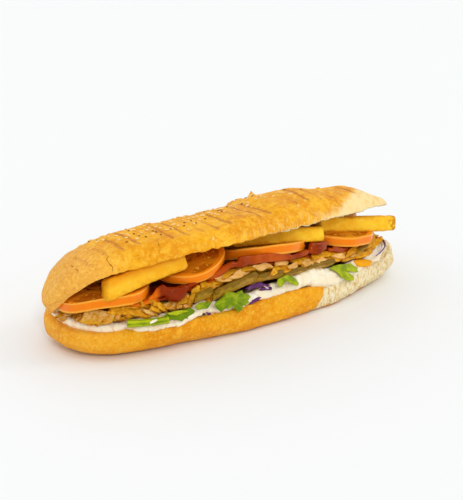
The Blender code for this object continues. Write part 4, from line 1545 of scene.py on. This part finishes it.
def herb_finish():
    finish = Finish("fresh_herb", 0.35, 0.2, 0.08, (0.6, 1, 0.3), (0.8, 1, 0.35))
    lime = finish.mix(finish.noise(3, 3), (0.36, 0.44, 0.004), (0.54, 0.57, 0.015))
    finish.colour = finish.mix(finish.noise(4, 3), (0.08, 0.17, 0.001), (0.18, 0.28, 0.003))
    tone = finish.join(finish.mottled("lime", 6, 2, 0.3, 0.7, -0.2, 0.25),
                       finish.join(finish.value("vein"), 0.45, "MULTIPLY"))
    finish.coat(finish.step(tone, 0.1, 1.0), lime)
    finish.relief(finish.cells(1.8), 0.2)
    return finish.done()


herb = herb_finish()
stand_for(greens.build("herb_leaves", herb), "stem")

# %% The thick stem and its smear of sauce
STEM_SPOTS = ((127, 323.5), (140, 323), (155, 321.5), (168, 319.5))
STEM_HEIGHT = 22.6
STEM_STATIONS = 40
STEM_AROUND = 36
STEM_RIBS = 9
STEM_STRIPES = 5
SMEAR = ((150.5, 322.8, 24.3, 0.6), (153.5, 321.4, 24.3, 0.9), (156.5, 320, 24.3, 0.7))
stem_path = curve_through([at_height(*spot, STEM_HEIGHT) for spot in STEM_SPOTS], STEM_STATIONS)
share = np.linspace(0, 1, STEM_STATIONS)
flare = 4.6 + 0.9 * np.exp(-share * 14) + 0.7 * np.exp(-(1 - share) * 18)
points, faces, lengthwise, sideways, through = sweep(stem_path, flare, flare * 0.86, 0, 2.2,
                                                     STEM_AROUND, ends=0.9)
turn = np.arctan2(through, sideways)
from_middle = unit(points[:-2] - np.repeat(stem_path, STEM_AROUND, axis=0))
points[:-2] += from_middle * 0.16 * np.cos(STEM_RIBS * turn[:-2, None])
single("herb_stem", herb, "stem", "green_stem", points, faces,
       lime=0.5 + 0.3 * np.abs(lengthwise - 0.5) + 0.28 * np.cos(STEM_STRIPES * turn + 0.6))

smear_pile = Pile()
squeeze(smear_pile, at_height, SMEAR, step=0.4)
stand_for(melt(smear_pile, "sauce_smear", 0.35, 3, white_sauce), "sauce")

# %% The carrot slice
CARROT_SPOTS = ((353.5, 263), (363, 262.8), (371.5, 262.5))
CARROT_DEPTH = -33
CARROT_STATIONS = 24
CARROT_WIDTH = 5.6
CARROT_THICKNESS = 2.6
carrot_path = curve_through([at_depth(*spot, CARROT_DEPTH) for spot in CARROT_SPOTS],
                            CARROT_STATIONS)
share = np.linspace(0, 1, CARROT_STATIONS)
oval = CARROT_WIDTH * np.sqrt(np.clip(1 - (2 * share - 1) ** 2, 0.05, 1))
points, faces, *unused = sweep(carrot_path, oval, CARROT_THICKNESS, 38, 3, 26, ends=0.9)
points += 0.15 * cloud(points, 3, 95)[:, None]


def carrot_finish():
    finish = Finish("carrot", 0.3, 0.2, 0.15, (2, 1, 0.3), (1, 0.7, 0.3))
    finish.colour = finish.mix(finish.noise(2, 3), (0.90, 0.33, 0.002), (0.96, 0.47, 0.008))
    finish.relief(finish.noise(1.0, 3), 0.2)
    return finish.done()


single("carrot_disc", carrot_finish(), "carrot", "carrot_slice", points, faces)

# %% [markdown]
# ## Seeds on the crust
# Sesame is pressed into the crown before baking, with a few dark seeds among it. A seed is
# a small drop shape. A particle system could strew them, but some belong in known places:
# these are set from spots of the frame, dropped along the line of sight onto the baked
# crust. The rest are sown at random over the crown, thickest in its middle, and fall
# straight down onto it.

# %% Sesame and dark seeds
SESAME_SPOTS = ((86, 251), (97, 242), (109, 237), (122, 234), (119, 240), (129, 236), (137, 239),
                (134, 230), (153, 234), (167, 230), (174, 225), (178, 226), (188, 222),
                (188, 230), (199, 220), (209, 213), (218, 215), (213, 239), (248, 203),
                (256, 199), (280, 193), (290, 194), (298, 206), (91, 249), (103, 240),
                (116, 236), (126, 238), (142, 233), (147, 230), (160, 228), (172, 229),
                (183, 220), (194, 224), (204, 216), (221, 209), (236, 205), (264, 198))
DARK_SPOTS = ((129, 231), (139, 236), (127, 242), (153, 231), (156, 232), (161, 235), (171, 229),
              (184, 226), (196, 223), (227, 207), (242, 204), (146, 237), (134, 234), (205, 219))
SESAME_SIZE = (2.9, 1.7, 0.9)       # length, width, height
DARK_SIZE = (1.6, 1.1, 0.7)
SEEDS_SOWN = 200
SOWN_REACH = 104
DARK_SHARE = 0.2
DROP_FROM = 0.2                     # metres over the table
LOWEST_SEED = 0.04


def seed_shape(place, normal, spin, length, width, height):
    """A flat drop lying on the crust."""
    normal = unit(np.array(normal, float))
    first = unit(np.cross(normal, (0.3, 0.9, 0.2)))
    second = np.cross(normal, first)
    ahead = first * math.cos(spin) + second * math.sin(spin)
    aside = np.cross(normal, ahead)
    angles = ring_angles(10)
    rings = []
    for share in np.linspace(0.04, 0.96, 8):
        size = math.sin(math.pi * share ** 0.75) ** 0.6
        rings.append(place + ahead * (share - 0.5) * length
                     + aside * (np.cos(angles) * size * width / 2)[:, None]
                     + normal * (np.sin(angles) * size * height / 2)[:, None])
    return loft(rings)


def sow(pile, place, normal, length, width, height):
    grow = rng.uniform(0.85, 1.15)
    pile.add(*seed_shape(np.array(place) + np.array(normal) * height * 0.25, normal,
                         rng.uniform(0, math.tau), length * grow, width * grow, height),
             shade=rng.uniform(0, 1))


def on_crust(start, direction):
    """Where a line meets the bread, in millimetres, and the crust's direction there."""
    place, normal, face, distance = bread_tree.ray_cast(start, direction)
    return (np.array(place) / MM, np.array(normal)) if place else (None, None)


rng = np.random.default_rng(3)
sesame = Pile()
dark = Pile()
for pile, spots, size in ((sesame, SESAME_SPOTS, SESAME_SIZE), (dark, DARK_SPOTS, DARK_SIZE)):
    for spot in spots:
        place, normal = on_crust(eye, sight(*spot))
        if place is not None:
            sow(pile, place, normal, *size)
for number in range(SEEDS_SOWN):
    x = rng.normal(-20, 52)
    y = rng.uniform(-13, 34)
    if abs(x) > SOWN_REACH:
        continue
    place, normal = on_crust(Vector((x * MM, y * MM, DROP_FROM)), Vector((0, 0, -1)))
    if place is not None and place[2] * MM > LOWEST_SEED:
        kind = (dark, DARK_SIZE) if rng.random() < DARK_SHARE else (sesame, SESAME_SIZE)
        sow(kind[0], place, normal, *kind[1])


def seed_finish(name, one, other):
    finish = Finish(name, 0.45, 0.2)
    finish.colour = finish.mix(finish.value("shade"), one, other)
    finish.coat(finish.patches(0.8, 2, 0.4, 0.7, 0, 0.4), other)
    finish.relief(finish.noise(0.5, 2), 0.08)
    return finish.done()


stand_for(sesame.build("sesame_seeds", seed_finish("sesame", (0.95, 0.69, 0.29),
                                                   (0.87, 0.49, 0.10))), "bread")
stand_for(dark.build("dark_seeds", seed_finish("dark_seed", (0.17, 0.065, 0.015),
                                               (0.28, 0.11, 0.02))), "bread")

# %% [markdown]
# ## Cracks in the crust
# Cooling bread cracks where its skin is thin. A crack is far finer than the mesh, so it is
# laid on as a hair-thin dark sliver that follows the crust: spots along it are dropped
# onto the bread in the same way as the seeds.

# %% Hair cracks
CRACKS = (
    ((109.8, 256), (106.8, 259), (109, 263.5), (111.5, 265.8), (112.8, 268), (112.3, 271)),
    ((71, 265), (72.5, 266.6), (73.6, 267.2)),
    ((75.5, 269), (77, 269.8), (78.4, 271.2)),
    ((157.5, 242), (159, 244.5), (158.5, 247)))
CRACK_WIDTH = 0.42
CRACK_DEPTH = 0.5
cracks = Pile()
for line in CRACKS:
    places = [on_crust(eye, sight(*spot))[0] for spot in line]
    path = curve_through(places, 5 * len(places))
    share = np.linspace(0, 1, len(path))
    width = CRACK_WIDTH * np.sin(math.pi * np.clip(share, 0.06, 0.94)) ** 0.5
    path += 0.12 * wobble(path, (1.2, 97), (1.2, 98), (1.2, 99))
    points, faces, *unused = sweep(path, width, CRACK_DEPTH, 0, 2, 8)
    cracks.add(points, faces)
crack_finish = Finish("crack_shadow", 0.8, 0.05)
crack_finish.colour = crack_finish.mix(crack_finish.noise(2, 2), (0.26, 0.08, 0.008),
                                       (0.50, 0.19, 0.018))
stand_for(cracks.build("crust_cracks", crack_finish.done()), "bread")

# %% [markdown]
# ## Floor and light
# The roll stands on a plain pale floor in a bright room. Almost all light comes softly
# from everywhere, as in a white light tent. Two small suns from the upper left and right
# add the sparkle on what is wet, and light the floor evenly from edge to edge.

# %% Floor and lights
FLOOR_HALF = 6000
FLOOR_DROP = 0.0002
SKY = (0.985, 0.995, 1, 1)
SKY_STRENGTH = 0.93


def light(name, direction, spread, strength):
    """Even light from one direction. Its spread in degrees softens the shadows."""
    lamp = bpy.data.lights.new(name, "SUN")
    lamp.angle = math.radians(spread)
    lamp.energy = strength
    thing = bpy.data.objects.new(name, lamp)
    thing.location = direction
    thing.rotation_euler = Vector(direction).to_track_quat("Z", "Y").to_euler()
    bpy.context.scene.collection.objects.link(thing)
    print(name, "sun of strength", strength)


floor = Pile()
floor.add([(-FLOOR_HALF, -FLOOR_HALF, 0), (FLOOR_HALF, -FLOOR_HALF, 0),
           (FLOOR_HALF, FLOOR_HALF, 0), (-FLOOR_HALF, FLOOR_HALF, 0)], [(0, 1, 2, 3)])
floor_finish = Finish("pale_floor", 0.6, 0.1)
floor_finish.colour = (0.91, 0.92, 0.915)
pale_floor = floor.build("floor", floor_finish.done())
pale_floor.location.z = -FLOOR_DROP
world = bpy.data.worlds.new("soft_room")
world.use_nodes = True
world.node_tree.nodes["Background"].inputs["Color"].default_value = SKY
world.node_tree.nodes["Background"].inputs["Strength"].default_value = SKY_STRENGTH
bpy.context.scene.world = world
light("window", (-0.45, -1.0, 0.75), 7, 0.5)
light("window_right", (0.9, -0.5, 0.9), 14, 0.25)
bpy.context.scene.view_settings.view_transform = "Standard"
